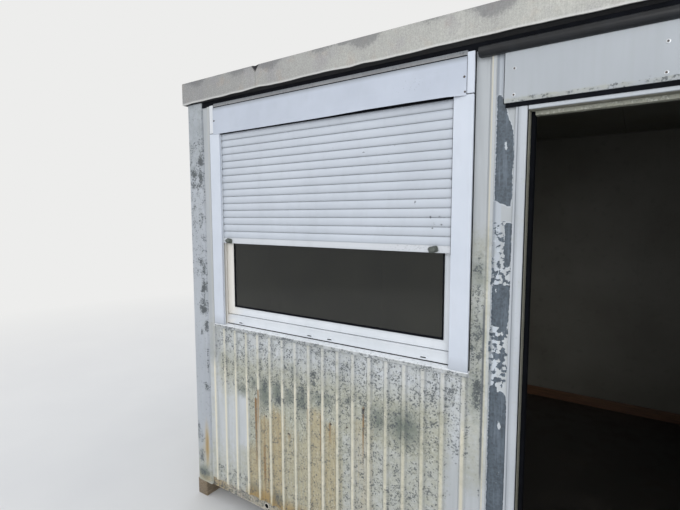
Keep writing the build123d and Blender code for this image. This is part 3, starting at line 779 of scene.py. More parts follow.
def bare_zinc(a, z):
    """Millimetres inside the bare zinc, negative where the paint is whole, and its raggedness."""
    bare = strongest(*(inside_by(a, z, outline) for outline in BARE_PATCHES))
    bare = np.clip(bare, -99.0, -strongest(*(inside_by(a, z, outline) for outline in PAINT_FLAKES)))
    ragged = np.zeros(len(a))
    for low, high, left, right, level in FLAKING:
        inside = window(z, low, high, 14) * window(a, left, right, 8)
        bare = np.where(inside > 0, np.maximum(bare, level - 12 * (1 - inside)), bare)
        ragged = np.maximum(ragged, inside)
    return bare, ragged


def plain_stains(seed, length):
    """Mildew, dust and rust of a side that the photo does not show, from a fixed seed."""
    chance = np.random.default_rng(seed)
    mildew = []
    dust = []
    rust = []
    edge, screw_edge = 100, 150
    for _ in range(int(length / 75)):
        spot = chance.uniform(edge, length - edge), chance.normal(900, 330)
        mildew.append((*spot, chance.uniform(20, 60), chance.uniform(60, 200), chance.uniform(0.35, 0.85)))
    for _ in range(int(length / 260)):
        spot = chance.uniform(edge, length - edge), chance.uniform(80, 380)
        dust.append((*spot, chance.uniform(80, 220), chance.uniform(90, 260), chance.uniform(0.35, 0.75)))
    for _ in range(5):
        x, top = chance.uniform(screw_edge, length - screw_edge), chance.uniform(300, 800)
        rust.append((x, top, top - 260, 8, chance.uniform(0.5, 0.9)))
    return mildew, dust, rust


def cladding_wear(side, ribs, a, z):
    """Crest tint with a painted highlight, painted shade on flanks, folds and the upper wall with some dirt
    in the folds, and the stains of its side for a ribbed sheet.
    """
    offset = a - ribs[np.abs(a[:, None] - ribs).argmin(axis=1)]
    crest = window(np.abs(offset), 0, 5, 6)
    # Painted shade along the foot of each rib's right flank, with some dirt in the fold
    painted_shade_and_fold_dirt = 0.2 * window(offset, 11, RIB_FOOT - 1, 4)
    high_up = ramp(z, 780, 860)
    low_band = ramp(z, CLADDING_LOW + 90, CLADDING_LOW)
    bare, ragged, washed = -99.0, 0.0, 0.0
    if side == "front":
        clean = soft_boxes(a, z, FRONT_CLEAN)
        mildew = strongest(0.9 * blots(a, z, FRONT_MILDEW), soft_boxes(a, z, FRONT_SPECKS))
        mildew *= 1 - 0.7 * clean
        film = soft_boxes(a, z, FRONT_FILM) * (1 - clean)
        dust = soft_boxes(a, z, FRONT_DUST)
        rust = strongest(runs_down(a, z, FRONT_RUST), blots(a, z, FRONT_RUSTY))
        # Greenish haze from the stains, and a share that rises towards the top as painted shade under the
        # eaves
        green = strongest(blots(a, z, FRONT_GREEN), 0.15 * ramp(z, 1400, 1700))
        last_rib = (a > FIRST_RIB + 17.5 * RIB_PITCH) * (np.abs(offset) < 40)
        # Painted shade on the flank of the last rib and a line on its left, on the upper wall and beside the
        # post at the top; and a bluish darkening low on the pans right of the window
        painted_shade_and_fold_dirt = strongest(
            np.where(last_rib, 0.6 * window(offset, 11, 17, 2), painted_shade_and_fold_dirt),
            last_rib * window(z, 640, 1320, 60) * window(offset, -19, -13, 4),
            0.28 * ramp(z, 1400, 1600),
            0.2 * (a > 1650) * ramp(z, 800, 600),
            0.3 * high_up * (a < 230),
        )
        bare, ragged = bare_zinc(a, z)
        # Bluish painted light on the crest and right flank of the last rib
        washed = last_rib * np.where(offset > RIB_CREST / 2 + 3, 0.9, 0.6 * crest * (offset > -1))
        dulled = np.where(a < 230, 0.8, 0.35 + 0.35 * ramp(a, 500, 700)) * high_up * (1 - last_rib)
    else:
        mildew_stains, dust_stains, rust_streaks = plain_stains(len(side), SIDES[side])
        mildew = blots(a, z, mildew_stains)
        dust = blots(a, z, dust_stains)
        dulled = 0.5 * high_up
        film = 0.45 * ramp(z, 1000, 600)
        rust = runs_down(a, z, rust_streaks)
        green = 0.5 * mildew
    kept_clean = 1 - crest * (0.6 - 0.45 * ramp(a, 1000, 1400)) * (1 - high_up)
    return {
        # Cream on the crests: a painted highlight over paler, cleaner paint, dulled higher up
        "crest": 0.8 * crest * (1 - washed) * (1 - dulled),
        "washed": washed,
        "film": film * kept_clean,
        # Painted shade, deeper on the upper flanks
        "crease": painted_shade_and_fold_dirt * (1 + 0.9 * high_up * (offset > 8) * (offset < RIB_FOOT) * (1 - washed)),
        "mildew": strongest(mildew * (1 - 0.45 * crest), 0.04 + 0.3 * low_band),
        "dust": np.clip(dust * kept_clean + 0.35 * low_band, 0, 1),
        "rust": rust,
        "green": green * kept_clean,
        "bare": bare,
        "ragged": ragged,
    }


# Geometry Nodes: the ribbed sheet, and anything that repeats along a line or at points


def new_tree(name, **sockets):
    """A tree with its named inputs, their identifiers by name, and its input sockets."""
    tree = bpy.data.node_groups.new(name, "GeometryNodeTree")
    found = {}
    for kind, names in sockets.items():
        for socket in names:
            made = tree.interface.new_socket(name=socket, in_out="INPUT", socket_type="NodeSocket" + kind)
            found[socket] = made.identifier
    tree.interface.new_socket(name="Geometry", in_out="OUTPUT", socket_type="NodeSocketGeometry")
    return tree, found, add(tree, "NodeGroupInput").outputs


def end_tree(tree, geometry, material):
    """Close a tree: its instances made real and its material set."""
    real = add(tree, "GeometryNodeRealizeInstances", geometry)
    add(tree, "NodeGroupOutput", add(tree, "GeometryNodeSetMaterial", real, Material=material))


def ribbed_sheet_tree():
    """Tree that folds a flat grid into a closed sheet with trapezoid ribs, in millimetres. Two
    columns of the grid make half a crest, two make a flank, and the rest make the pan."""
    tree, names, given = new_tree(
        "ribbed sheet",
        Float=("Length", "Height", "First Column", "Column", "First Rib", "Last Rib", "Rib Pitch", "Crest",
               "Flank", "Rib Depth", "Thickness"),
        Int=("Columns", "Rows"),
        Material=("Material",),
    )
    gaps = add(tree, "Math", given["Columns"], 1.0, operation="SUBTRACT")
    width = add(tree, "Math", gaps, given["Column"], operation="MULTIPLY")
    grid = add(tree, "GeometryNodeMeshGrid", width, given["Height"], given["Columns"], given["Rows"])
    spot = add(tree, "SeparateXYZ", add(tree, "GeometryNodeInputPosition")).outputs
    middle = add(tree, "Math", width, 0.5, given["First Column"], operation="MULTIPLY_ADD")
    along = add(tree, "Math", spot["X"], middle, operation="ADD")
    above = add(tree, "Math", given["Height"], 0.5, spot["Y"], operation="MULTIPLY_ADD")
    # Centre of the nearest rib, where only whole ribs between the first and last are made
    passed = add(tree, "Math", along, given["First Rib"], operation="SUBTRACT")
    steps = add(tree, "Math", passed, given["Rib Pitch"], operation="DIVIDE")
    nearest = add(tree, "Math", steps, operation="ROUND")
    kept = add(tree, "Clamp", nearest, 0.0, given["Last Rib"])
    centre = add(tree, "Math", kept, given["Rib Pitch"], given["First Rib"], operation="MULTIPLY_ADD")
    offset = add(tree, "Math", along, centre, operation="SUBTRACT")
    way = add(tree, "Math", offset, operation="SIGN")
    away = add(tree, "Math", offset, operation="ABSOLUTE")
    # The columns are moved onto the folds: crest, then flank, then pan
    half_crest = add(tree, "Math", given["Crest"], 0.5, operation="MULTIPLY")
    foot = add(tree, "Math", half_crest, given["Flank"], operation="ADD")
    half_pitch = add(tree, "Math", given["Rib Pitch"], 0.5, operation="MULTIPLY")
    pan = add(tree, "Math", half_pitch, foot, operation="SUBTRACT")
    two = add(tree, "Math", given["Column"], 2.0, operation="MULTIPLY")
    four = add(tree, "Math", given["Column"], 4.0, operation="MULTIPLY")
    on_crest = add(tree, "MapRange", away, 0.0, two, 0.0, half_crest)
    on_flank = add(tree, "MapRange", away, two, four, 0.0, given["Flank"])
    on_pan = add(tree, "MapRange", away, four, half_pitch, 0.0, pan, clamp=False)
    on_pan = add(tree, "Math", on_pan, 0.0, operation="MAXIMUM")
    folds = add(tree, "Math", on_crest, on_flank, operation="ADD")
    reach = add(tree, "Math", folds, on_pan, operation="ADD")
    moved = add(tree, "Math", reach, way, centre, operation="MULTIPLY_ADD")
    held = add(tree, "Clamp", moved, 0.0, given["Length"])
    new_offset = add(tree, "Math", held, centre, operation="SUBTRACT")
    new_away = add(tree, "Math", new_offset, operation="ABSOLUTE")
    depth = add(tree, "MapRange", new_away, half_crest, foot, 0.0, given["Rib Depth"])
    folded = add(tree, "CombineXYZ", held, depth, above)
    # One skin is pushed through for the sheet's back, and both are closed along their edges
    skin = add(tree, "GeometryNodeSetPosition", grid, Position=folded)
    skin = add(tree, "GeometryNodeMergeByDistance", skin, Distance=0.02)
    through = add(tree, "CombineXYZ", Y=given["Thickness"])
    pushed = add(tree, "GeometryNodeExtrudeMesh", Mesh=skin, Offset=through, Individual=False)
    both = add(tree, "GeometryNodeJoinGeometry")
    for part in (pushed, add(tree, "GeometryNodeFlipFaces", skin)):
        tree.links.new(part.outputs["Mesh"], both.inputs[0])
    end_tree(tree, add(tree, "GeometryNodeMergeByDistance", both, Distance=0.02), given["Material"])
    return tree, names


def repeat_tree():
    """Tree that sets a made part at given points, each turned a little about its own axis."""
    tree, names, given = new_tree("parts at points", Geometry=("Geometry",), Object=("Part",),
                                  Float=("Turn",), Int=("Seed",), Material=("Material",))
    part = add(tree, "GeometryNodeObjectInfo", Object=given["Part"]).outputs["Geometry"]
    least = add(tree, "Math", given["Turn"], -1.0, operation="MULTIPLY")
    ends = {2: least, 3: given["Turn"]}
    turn = add(tree, "FunctionNodeRandomValue", extra=ends, Seed=given["Seed"], data_type="FLOAT")
    angles = add(tree, "FunctionNodeEulerToRotation", add(tree, "CombineXYZ", Y=turn.outputs[1]))
    set_out = add(tree, "GeometryNodeInstanceOnPoints", given["Geometry"], Instance=part, Rotation=angles)
    end_tree(tree, set_out, given["Material"])
    return tree, names


def grow(name, made_tree, values, base=None):
    """Run a tree on a base mesh and return its result as a plain mesh."""
    tree, names = made_tree
    carrier = link(name + "_work", base or bpy.data.meshes.new(name + "_base"))
    modifier = carrier.modifiers.new("nodes", "NODES")
    modifier.node_group = tree
    for key, value in values.items():
        modifier[names[key]] = value
    carrier.update_tag()
    bpy.context.view_layer.update()
    evaluated = carrier.evaluated_get(bpy.context.evaluated_depsgraph_get())
    mesh = bpy.data.meshes.new_from_object(evaluated)
    bpy.data.objects.remove(carrier)
    mesh.name = name
    return mesh


RIBBED = ribbed_sheet_tree()
REPEAT = repeat_tree()


def at_points(name, part_shapes, spots, material, slot, *nodes, turn=0.0, seed=1, side="front", wear=None):
    """A part made once about the origin and set at a side's spots by the repeat tree."""
    part = link(name + "_part", mesh_of(name + "_part", part_shapes))
    base = bpy.data.meshes.new(name + "_spots")
    base.from_pydata(spots, [], [])
    mesh = grow(name, REPEAT, {"Part": part, "Turn": turn, "Seed": seed, "Material": material}, base)
    bpy.data.objects.remove(part)
    finish(settle(name, mesh, side=side), material, slot, *nodes, wear=wear)


def wall(node, side, start, end, first, last_end, lining_from, lining_to, row=12.0):
    """One stretch of wall: a sheet of cladding, with whole ribs at the pitch from the first one to
    the last end, and the inner boards behind it, with cover strips over their joints."""
    low, high = span(node)[2]
    ribs = np.arange(first, last_end - RIB_FOOT + 0.001, RIB_PITCH)
    ribs = ribs[(start < ribs + RIB_FOOT) & (ribs - RIB_FOOT < end)]
    column = RIB_PITCH / COLUMNS_PER_PITCH
    first_column = ribs[0] - start - math.ceil(max(ribs[0] - start, 0) / column) * column
    values = {
        "Length": end - start, "Height": high - low, "First Column": first_column, "Column": column,
        "First Rib": ribs[0] - start, "Last Rib": len(ribs) - 1.0, "Rib Pitch": RIB_PITCH, "Crest": RIB_CREST,
        "Flank": RIB_FLANK, "Rib Depth": RIB_DEPTH, "Thickness": SHEET_THICKNESS,
        "Columns": math.ceil((end - start - first_column) / column) + 1, "Rows": int((high - low) / row) + 1,
        "Material": CLADDING,
    }
    sheet = settle("cladding_" + node, grow("cladding_" + node, RIBBED, values), 30, side, start, low)
    finish(sheet, CLADDING, "cladding_paint", node, side=side,
           wear=lambda a, _, z: cladding_wear(side, ribs, a, z))
    boards = [((lining_from, lining_to), (WALL_THICKNESS - 12, WALL_THICKNESS - 3))]
    for joint in stations(lining_from, lining_to, 620)[1:-1]:
        boards.append(((joint - 20, joint + 20), (WALL_THICKNESS - 3, WALL_THICKNESS)))
    foot = max(low, FLOOR)
    shapes = [swept("z", rounded(rectangle(*board), 1.0, 1), foot, high, side=side) for board in boards]
    make("lining_" + node, shapes, SHADED_LINING, "lining")


def plain_ribs(side):
    """Both ends of a plain side's cladding, its first rib and how many gaps its ribs leave."""
    start, end = POST_WIDTH, SIDES[side] - POST_WIDTH
    gaps = int((end - start - 2 * RIB_EDGE) // RIB_PITCH)
    return start, end, start + (end - start - gaps * RIB_PITCH) / 2, gaps


def walls():
    """The five pieces of the front wall, their ribs in step and none cut by the door's band, and
    the three plain sides."""
    band = span("front_wall_between")[0][1]
    for part in ("below_window", "left", "between", "over_door", "right"):
        start, end = span("front_wall_" + part)[0]
        last_end = band if end <= band else CABIN_LENGTH - POST_WIDTH
        wall("front_wall_" + part, "front", start, end, FIRST_RIB, last_end, start, end)
    for side in ("back", "left", "right"):
        start, end, first, _ = plain_ribs(side)
        lap = WALL_THICKNESS - 3
        wall(side + "_wall", side, start, end, first, end, lap, SIDES[side] - lap, 46.0)


def corner_posts():
    """Folded steel posts: a rounded outer corner, and lips that slope back to the cladding."""
    lip = RIB_DEPTH + SHEET_THICKNESS
    face = POST_WIDTH - 9.0
    outline = [(0, 0), (face, 0), (POST_WIDTH, lip), (WALL_THICKNESS, WALL_THICKNESS), (lip, POST_WIDTH),
               (0, face)]
    outline = divided(rounded(outline, [9, 2, 0, 0, 0, 2], 4), 9)

    def photo_wear(a, depth, z):
        """Stains of the post that the photo shows, and painted shade along its right lip."""
        haze = np.maximum(0.4 * window(z, 1350, 2150, 100), 0.22)
        specks = strongest(1.3 * blots(a, z, POST_MILDEW), haze)
        return {
            "mildew": specks * (depth < 30),
            "dust": blots(a, z, [(92, 250, 30, 200, 0.7), (70, 200, 46, 190, 0.4), (70, 30, 80, 40, 0.6)]),
            "rust": blots(a, z, [(92, 230, 14, 150, 0.3)]),
            "film": 0.1 + 0.6 * ramp(z, 380, 30),
            "green": strongest(blots(a, z, [(60, 60, 70, 60, 0.9)]), 0.4 * ramp(z, 1700, 2100)),
            # Painted shade along the right lip, towards the top
            "crease": 0.4 * window(a, face + 3, POST_WIDTH, 4) * ramp(z, 1500, 2200),
        }

    def plain_wear(name):
        """Light streaks of a post that it does not show."""
        stains = plain_stains(len(name), CABIN_WIDTH)[0]
        return lambda a, depth, z: {"mildew": np.maximum(0.8 * blots(a * 6, z, stains), 0.08),
                                    "dust": 0.6 * ramp(z, 500, 0), "film": 0.25}

    corners = ("front_left", "front"), ("front_right", "right"), ("back_right", "back"), ("back_left", "left")
    for name, side in corners:
        shape = swept("z", outline, POST_LOW, FASCIA_LOW, 12, side)
        make("post_" + name, [shape], POSTS, "post_paint", "corner_post_" + name, angle=50, side=side,
             wear=photo_wear if side == "front" else plain_wear(name))


# Lower edge of the rim in front, bent by knocks: (x, how far above its level), read off the photo
RIM_BENDS = [(-20, -2), (60, 3), (200, 5), (340, 5), (410, 7), (480, 7), (550, 11), (620, 14), (690, 9),
             (760, 7), (830, 9), (970, 13), (1040, 13), (1180, 8), (1250, 12), (1350, 10), (1530, 11),
             (1600, 13), (1740, 14), (1880, 14), (2200, 11), (2600, 8), (3010, 4)]


def roof_edge():
    """The folded steel rim of the roof, its lips, the joints of its lengths and one torn notch."""
    low, high, face = FASCIA_LOW, TOP, -OVERHANG
    joint = 589.0
    second_joint = 1719.0
    back = WALL_THICKNESS
    section = rounded([(face, low), (face, high), (back, high), (back, low)], [2.5, 5, 3, 0])
    section = divided(section, 8)
    for side, length in SIDES.items():
        front = side == "front"

        def mitred(depth, z, a, side=side, middle=length / 2):
            """The ends follow the mitre of the corner."""
            return on_side(side, middle + (a - middle) * (middle - depth) / (middle + OVERHANG), depth, z)

        closer = [joint + 3.1 * step for step in range(-9, 10)]
        runs = sorted(stations(-OVERHANG, length + OVERHANG, 11) + closer)
        piece = settle("roof_edge_" + side, mesh_of("roof_edge_" + side, [prism(section, runs, mitred)]), 50)
        a, depth, z = places_of(piece, side)
        from_joint = np.abs(a - joint)
        torn = 4 * front * ramp(from_joint, 24, 0) * (z > high - 6) * (depth < 14)
        bends = np.interp(a, *zip(*RIM_BENDS)) * front + 1.2 * np.sin(a / 37.0) * np.sin(a / 91.0)
        rise = np.clip(bends, 0, 16) * ramp(z, low + 60, low) * (depth < 5)
        for vertex, up in zip(piece.data.vertices, rise - torn):
            vertex.co.z += up * MM
        joints = [joint, second_joint] if front else [length / 3, 2 * length / 3]
        notch_foot = high - 34
        notch = window(from_joint, -1, 23 * ramp(z, notch_foot, high - 4), 3)
        notch *= (z > notch_foot) * (depth < 16) * front
        mildew = 0.3 + 0.3 * ramp(z, low + 60, low + 130) + 0.25 * np.sin(a / 173.0) * np.sin(a / 61.0)
        clean = np.full(len(a), 0.5)
        if front:
            smudges = [(1147, 2500, 60, 26, 0.9), (1787, 2470, 40, 30, 0.8), (300, 2495, 90, 22, 0.6)]
            mildew = strongest(mildew, blots(a, z, smudges))
            clean = ramp(a, 100, 1900) * np.where(a > second_joint, 0.85, 1.0)
        seams = [0.16 * window(a, middle - 1, middle + 1, 5) for middle in joints]
        wear = {
            # Painted highlight along the lower edge
            "crest": 0.9 * window(z, low - 5, low + 5, 5) * (depth < face + 3),
            # Dark joints of the lengths, and painted shade in the torn notch and on the underside
            "crease": strongest(*seams, notch, 0.95 * (z < low + 1) * (depth > face + 4)),
            "clean": clean,
            "mildew": mildew,
        }
        finish(piece, FASCIA_PAINT, "fascia_paint", "roof_rail_" + side, wear=wear)


def eaves():
    """Black seal between the walls and the rim: a soft strip on every side, between the posts."""
    low, high = span("eaves_seal")[2]
    section = rounded([(1, low), (3, high), (13, high), (13, low)], 2.5)
    shapes = []
    for side, length in SIDES.items():
        shapes.append(swept("x", section, POST_WIDTH, length - POST_WIDTH, side=side))
    make("eaves_strip", shapes, BLACK_RUBBER_AND_SHADOW, "seal_rubber", "eaves_seal")


def base_rails():
    """Channels along the foot of each side, with the turned-out lip and a lifting hole in front."""
    depth = span("base_rail_front")[1][0]
    back = WALL_THICKNESS - 3
    section = divided(rounded([(depth, 0), (depth, FLOOR), (back, FLOOR), (back, 0)], [3, 0, 0, 0]), 14)
    lip = rounded([(depth - 4, 0), (depth - 4, 6), (depth, 9), (depth, 0)], 1.2, 2)

    def wear(a, _, z):
        """Worn pale spots and dust in patches."""
        pale = np.clip(np.sin(a / 41.0) * np.sin(a / 17.0 + z / 9.0), 0, 1)
        dusty = np.clip(np.sin(a / 97.0), 0, 1)
        return {"mildew": 0.6, "dust": 0.3 + 0.3 * dusty, "crest": 0.7 * pale, "film": 0.4}

    for side, length in SIDES.items():
        shapes = [swept("x", section, POST_WIDTH, length - POST_WIDTH, 24, side)]
        shapes.append(swept("x", lip, POST_WIDTH, length - POST_WIDTH, 40, side))
        make("base_channel_" + side, shapes, BASE_PAINT, "base_paint", "base_rail_" + side, side=side,
             wear=wear)
    hole_x, hole_z = 590.0, 26.0
    inner_radius, outer_radius = 14.0, 18.0
    turns = np.linspace(0, 2 * math.pi, 25)[:-1]
    round_hole = [(math.cos(turn), math.sin(turn)) for turn in turns]
    inner, outer = ([(hole_x + radius * across, hole_z + radius * up) for across, up in round_hole]
                    for radius in (inner_radius, outer_radius))
    layers = ((outer, -3.0), (inner, -3.5), (inner, 1.0), (outer, 1.0))
    points = [(x, depth + behind, z) for circle, behind in layers for x, z in circle]
    rim = points, woven([0, 1, 2, 3], len(turns), closed=True)
    # The rim's cream is a painted highlight, and the dark disc in the hole is painted shade
    make("lifting_hole_rim", [rim], BASE_PAINT, "base_paint", wear={"crest": 0.8})
    make("lifting_hole_dark", [swept("depth", inner, depth - 0.6, depth + 2)], BLACK_RUBBER_AND_SHADOW, "seal_rubber")


def timber_blocks():
    """Rough sawn blocks under the corners, their edges knocked about."""
    (x0, x1), (y0, y1), (low, _) = span("timber_blocks")
    length, depth = 85.0, 240.0
    shapes = []
    for x in (x0, x1 - length):
        for y in (y0, y1 - depth):
            outline = divided(rounded(rectangle((x, x + length), (low, 0.0)), 5, 2), 9)
            shapes.append(swept("depth", outline, y, y + depth, 9, ease=4))
    piece = settle("timber_blocks_rough", mesh_of("timber_blocks_rough", shapes), 60)
    x, y, z = places_of(piece)
    waves = np.sin(x * 0.21 + 2) * np.sin(y * 0.05) + 0.6 * np.sin(z * 0.33 + x * 0.1)
    roughness = np.random.default_rng(8).uniform(0, 1, len(x))
    for vertex, wave, rough in zip(piece.data.vertices, waves, roughness):
        if 0.004 < vertex.co.z < BASE_Z - 0.003:
            vertex.co -= vertex.normal * (1.5 + 0.9 * wave + 0.8 * rough) * MM
    finish(piece, TIMBER, "timber", "timber_blocks")


# Window and shutter


def frame_wear_and_light(x_range, z_range, member, aged, cream_from, cream_to):
    """Wear and painted light of a mitred frame: thin lines at its corners, grime toward the glass,
    and a cream tint at its left that is painted light on its lit left members."""

    def wear(x, _, z):
        across = np.minimum(x - x_range[0], x_range[1] - x)
        upward = np.minimum(z - z_range[0], z_range[1] - z)
        corners = 0.3 * window(np.abs(across - upward), 0, 0.3, 1.2)
        return {"crease": strongest(corners, 0.12 * np.clip(np.minimum(across, upward) / member, 0, 1)),
                "aged": aged * ramp(x, cream_from, cream_to)}

    return wear


def window_parts():
    """Outer frame, sash, gasket, pane and sill."""
    (left, right), _, (_, top) = span("window_frame")
    sash_x, (front, sash_back), sash_z = span("window_sash")
    glass_x, glass_depth, glass_z = span("window_glass")
    member = sash_x[0] - left
    width = glass_x[0] - sash_x[0]
    frame_z = (glass_z[0] - member - width, top)
    face, back = FRAME_FACE, WALL_THICKNESS - 2
    outer = [(0, face), (member - 9, face), (member - 7, face + 2), (member - 2, face + 3),
             (member, face + 5), (member, back), (0, back)]
    shapes = [ring((left, right), frame_z, outer, 60)]
    make("window_outer_frame", shapes, PLASTIC, "window_plastic", "window_frame",
         wear=frame_wear_and_light((left, right), frame_z, member, 0.95, 330, 270))

    # The lower bar of the sash is narrower than the others
    narrower = 5.5
    section = [(1.5, front + 3), (3, front), (width - 18, front), (width - 13, front + 2),
               (width - 3, front + 8), (width, glass_depth[0] - 1), (width, sash_back), (1.5, sash_back)]
    sash = settle("window_sash_profile", mesh_of("window_sash_profile", [ring(sash_x, sash_z, section, 60)]))
    for vertex, inset in zip(sash.data.vertices, places_of(sash)[2] - sash_z[0]):
        if inset < width + 0.5:
            vertex.co.z -= narrower * MM * ramp(inset, 20, 45)
    finish(sash, PLASTIC, "window_plastic", "window_sash",
           wear=frame_wear_and_light(sash_x, sash_z, width, 0.75, 400, 310))

    # A black ring in the gap between sash and frame: a seal, and painted shade of the gap
    gap = rectangle((-1.0, 2.0), (front + 4, front + 12))
    make("sash_joint_seal", [ring(sash_x, sash_z, gap)], BLACK_RUBBER_AND_SHADOW, "seal_rubber")
    pane_z = (glass_z[0] - narrower, glass_z[1])
    bead = [(-1.5, -6), (3.5, -5), (7.5, -0.4), (7.5, 2), (-1.5, 2)]
    bead = [(inset, glass_depth[0] + behind) for inset, behind in bead]
    make("glazing_gasket", [ring(glass_x, pane_z, bead)], BLACK_RUBBER_AND_SHADOW, "seal_rubber")
    make("window_pane", [bar(glass_x, glass_depth, pane_z, 0.8)], PANE, "window_glass", "window_glass")

    # Sill: a folded lip with a drip edge
    sill_x, (edge, _), (low, _) = span("window_sill")
    lip = [(0, low), (edge + 3, low), (edge, low + 2), (edge, low + 17), (edge + 4, low + 20),
           (face + 1, low + 27), (face + 1, low + 20), (0, low + 16)]

    def sill_wear(_, depth, z):
        """Dirt and painted shade on the lip's front face, along the drip edge."""
        dirt = window(z, low - 1, low + 16, 4) * (depth < edge + 3)
        return {"mildew": 0.2 + 0.35 * dirt, "film": 0.45 * dirt, "crease": 0.5 * dirt}

    section = rounded(lip, [0, 1, 1, 2.5, 2.5, 0, 0, 0], 2)
    shape = swept("x", section, *sill_x, 20)
    make("window_sill_lip", [shape], SILL_PAINT, "cover_sheet", "window_sill", wear=sill_wear)


def drain_caps():
    """Small caps over the drain slots in the lower bar of the window frame."""
    cap = swept("depth", rounded(rectangle((-19, 19), (-6, 6)), 5), -3.0, 1.0, ease=1.0)
    slot = swept("depth", rounded(rectangle((-13, 13), (-5, 0)), 1.5, 2), -3.6, -2.0, ease=0.3)
    level = 1085.0
    spots = [(x, FRAME_FACE, level) for x in (402.0, 908.0, 1035.0, 1542.0)]
    at_points("drain_caps", [cap], spots, PLASTIC, "window_plastic")
    # Black bars for the slots, painted shade where the openings are
    at_points("drain_slots", [slot], spots, BLACK_RUBBER_AND_SHADOW, "seal_rubber")


def cover_strips():
    """Strips beside the shutter, wide ones and above them narrow ones beside its box, and black
    strips of painted shadow in the joints round them and at the foot of the frame."""
    (left, right), _, _ = span("window_frame")
    (trim_left, trim_right), (trim_face, _), (low, high) = span("window_trims")
    face = FRAME_FACE
    sill_low = span("window_sill")[2][0]
    narrow = 31.0
    # A black strip of painted shadow between the frame's foot and the sill
    gaps = [((left + 60, right - 60), (face - 1.5, face + 1), (sill_low + 23, sill_low + 31), 0.6)]
    shapes = []
    for outer, way, wide, foot in ((trim_left, 1, 80.0, low), (trim_right - 3, -1, 82.0, low - 2)):

        def across(start, end, outer=outer, way=way):
            """Stretch of x between two distances from the strip's outer edge."""
            return sorted((outer + way * start, outer + way * end))

        # Black strips of painted shadow where the strips meet the frame, and where the narrow ones meet the
        # cover
        gaps.append((across(wide - 3, wide), (face - 2, face + 1), (sill_low + 28, COVER_LOW), 0.6))
        gaps.append((across(narrow - 3, narrow + 5), (-7, 0), (COVER_LOW + 2, high - 1), 0.6))
        gaps.append((across(1, wide), (-9, 0), (COVER_LOW - 3, COVER_LOW + 2), 0.6))
        shapes.append(bar(across(0, wide), (trim_face, 0), (foot, COVER_LOW - 2), 2.2, 60))
        shapes.append(bar(across(0, narrow - 1.5), (trim_face + 1, 0), (COVER_LOW + 1, high), 2.2, 60))
    # Black strips of painted shadow in the gaps left and right of the right-hand strip
    gaps.append(((trim_right - 3.2, trim_right - 1), (3, RIB_DEPTH), (low + 2, high - 1), 0.5))
    gaps.append(((trim_right - 90.5, trim_right - 87), (1, 6), (low + 480, COVER_LOW), 0.5))
    make("window_joint_seals", [bar(*gap) for gap in gaps], BLACK_RUBBER_AND_SHADOW, "seal_rubber")
    # A warm tint on the left narrow strip, painted light like the window's left members, and darker towards
    # the foot of the wide strips
    make("cover_strips", shapes, COVER_SHEET, "cover_sheet", "window_trims",
         wear=lambda x, _, z: {"aged": 0.25 * (x < trim_left + narrow) * (z > COVER_LOW),
                               "crease": 0.3 * window(z, low - 5, low + 2, 12)})


def box_cover():
    """Thin cover of the shutter box: folded at the top, screwed at its ends, bowed out and
    creased between them, so that it gapes over the first slat."""
    (left, right), (front, _), (low, high) = span("shutter_box_cover")
    fold = high - 16
    foot = low - 6.5
    section = [(front, foot), (front, fold - 5), (front + 2.5, fold), (front + 3.7, fold),
               (front + 1.2, fold - 5), (front + 1.2, foot)]
    shape = swept("x", divided(section, 6), left + 0.6, right - 0.6, 12)
    cover = settle("shutter_cover_sheet", mesh_of("shutter_cover_sheet", [shape]), 24)
    x, _, z = places_of(cover)
    share = (x - left) / (right - left)
    down = (fold - z) / (fold - foot)
    bow = np.clip(np.sin(np.pi * share**0.85), 0, 1)
    # The crease rises from the lower edge left of the middle to the upper screw at the right
    crease = 1.0 - 0.75 * ramp(share, 0.38, 0.98)
    bent = np.clip((down - crease) / 0.7, 0, 1) * ramp(share, 0.38, 0.53) * ramp(share, 1, 0.95)
    out = bow * (5 * down**2 + np.clip(1.2 * np.sin(share * 21) * down, -1, 1)) + 19 * bent
    gape = ramp(share, 0.58, 0.7) * ramp(share, 0.95, 0.83)
    for vertex, push, rise in zip(cover.data.vertices, out, 2 * gape * down**2):
        vertex.co.y -= push * MM
        vertex.co.z += rise * MM
    cover.data.update()
    # The cover darkens towards its fold as painted shade; the specks are dirt
    wear = {"crease": 0.7 * ramp(z, fold - 20, fold), "specks": blots(x, z, [(1500, 2250, 160, 50, 0.3)])}
    finish(cover, BOX_SHEET, "cover_sheet", "shutter_box_cover", wear=wear)

    # The strip above it, set back under the rim and painted in shade, darker still at its top, with a black
    # strip of painted shadow at its foot
    strip = bar((left, right), (-9, 0), (fold + 5, high + 7), 1.5, 80)
    make("cover_top_strip", [strip], STRIP_SHADED_PAINT, "cover_sheet",
         wear=lambda x, _, z: {"mildew": 0.3, "crease": 0.75 * (z > high)})
    # The black inside of the box, and black strips of painted shadow at the fold and under the cover's lower
    # edge
    shapes = [bar((left + 2, right - 2), (1, 60), (low + 6, high), 1.0)]
    shapes.append(bar((left, right), (-8, 0), (fold - 1, fold + 5), 0.5))
    shapes.append(bar((left + 3, right - 3), (-7, 4), (low - 8, low + 4), 0.5))
    make("shutter_box_inside", shapes, BLACK_RUBBER_AND_SHADOW, "seal_rubber", "shutter_box")


# Dark marks on the slats: x, z, half width, half height
SLAT_MARKS = [(1240, 1998, 12, 6), (1395, 2012, 7, 7), (1571, 1701, 8, 8), (1612, 1701, 8, 8),
              (1586, 1670, 9, 7), (1620, 1670, 12, 6), (1580, 1652, 8, 6), (1535, 1641, 8, 6),
              (1072, 2031, 7, 6), (1655, 1852, 9, 8), (475, 1879, 7, 6), (1370, 1950, 6, 5),
              (1500, 1764, 4, 14), (1480, 1990, 7, 5)]


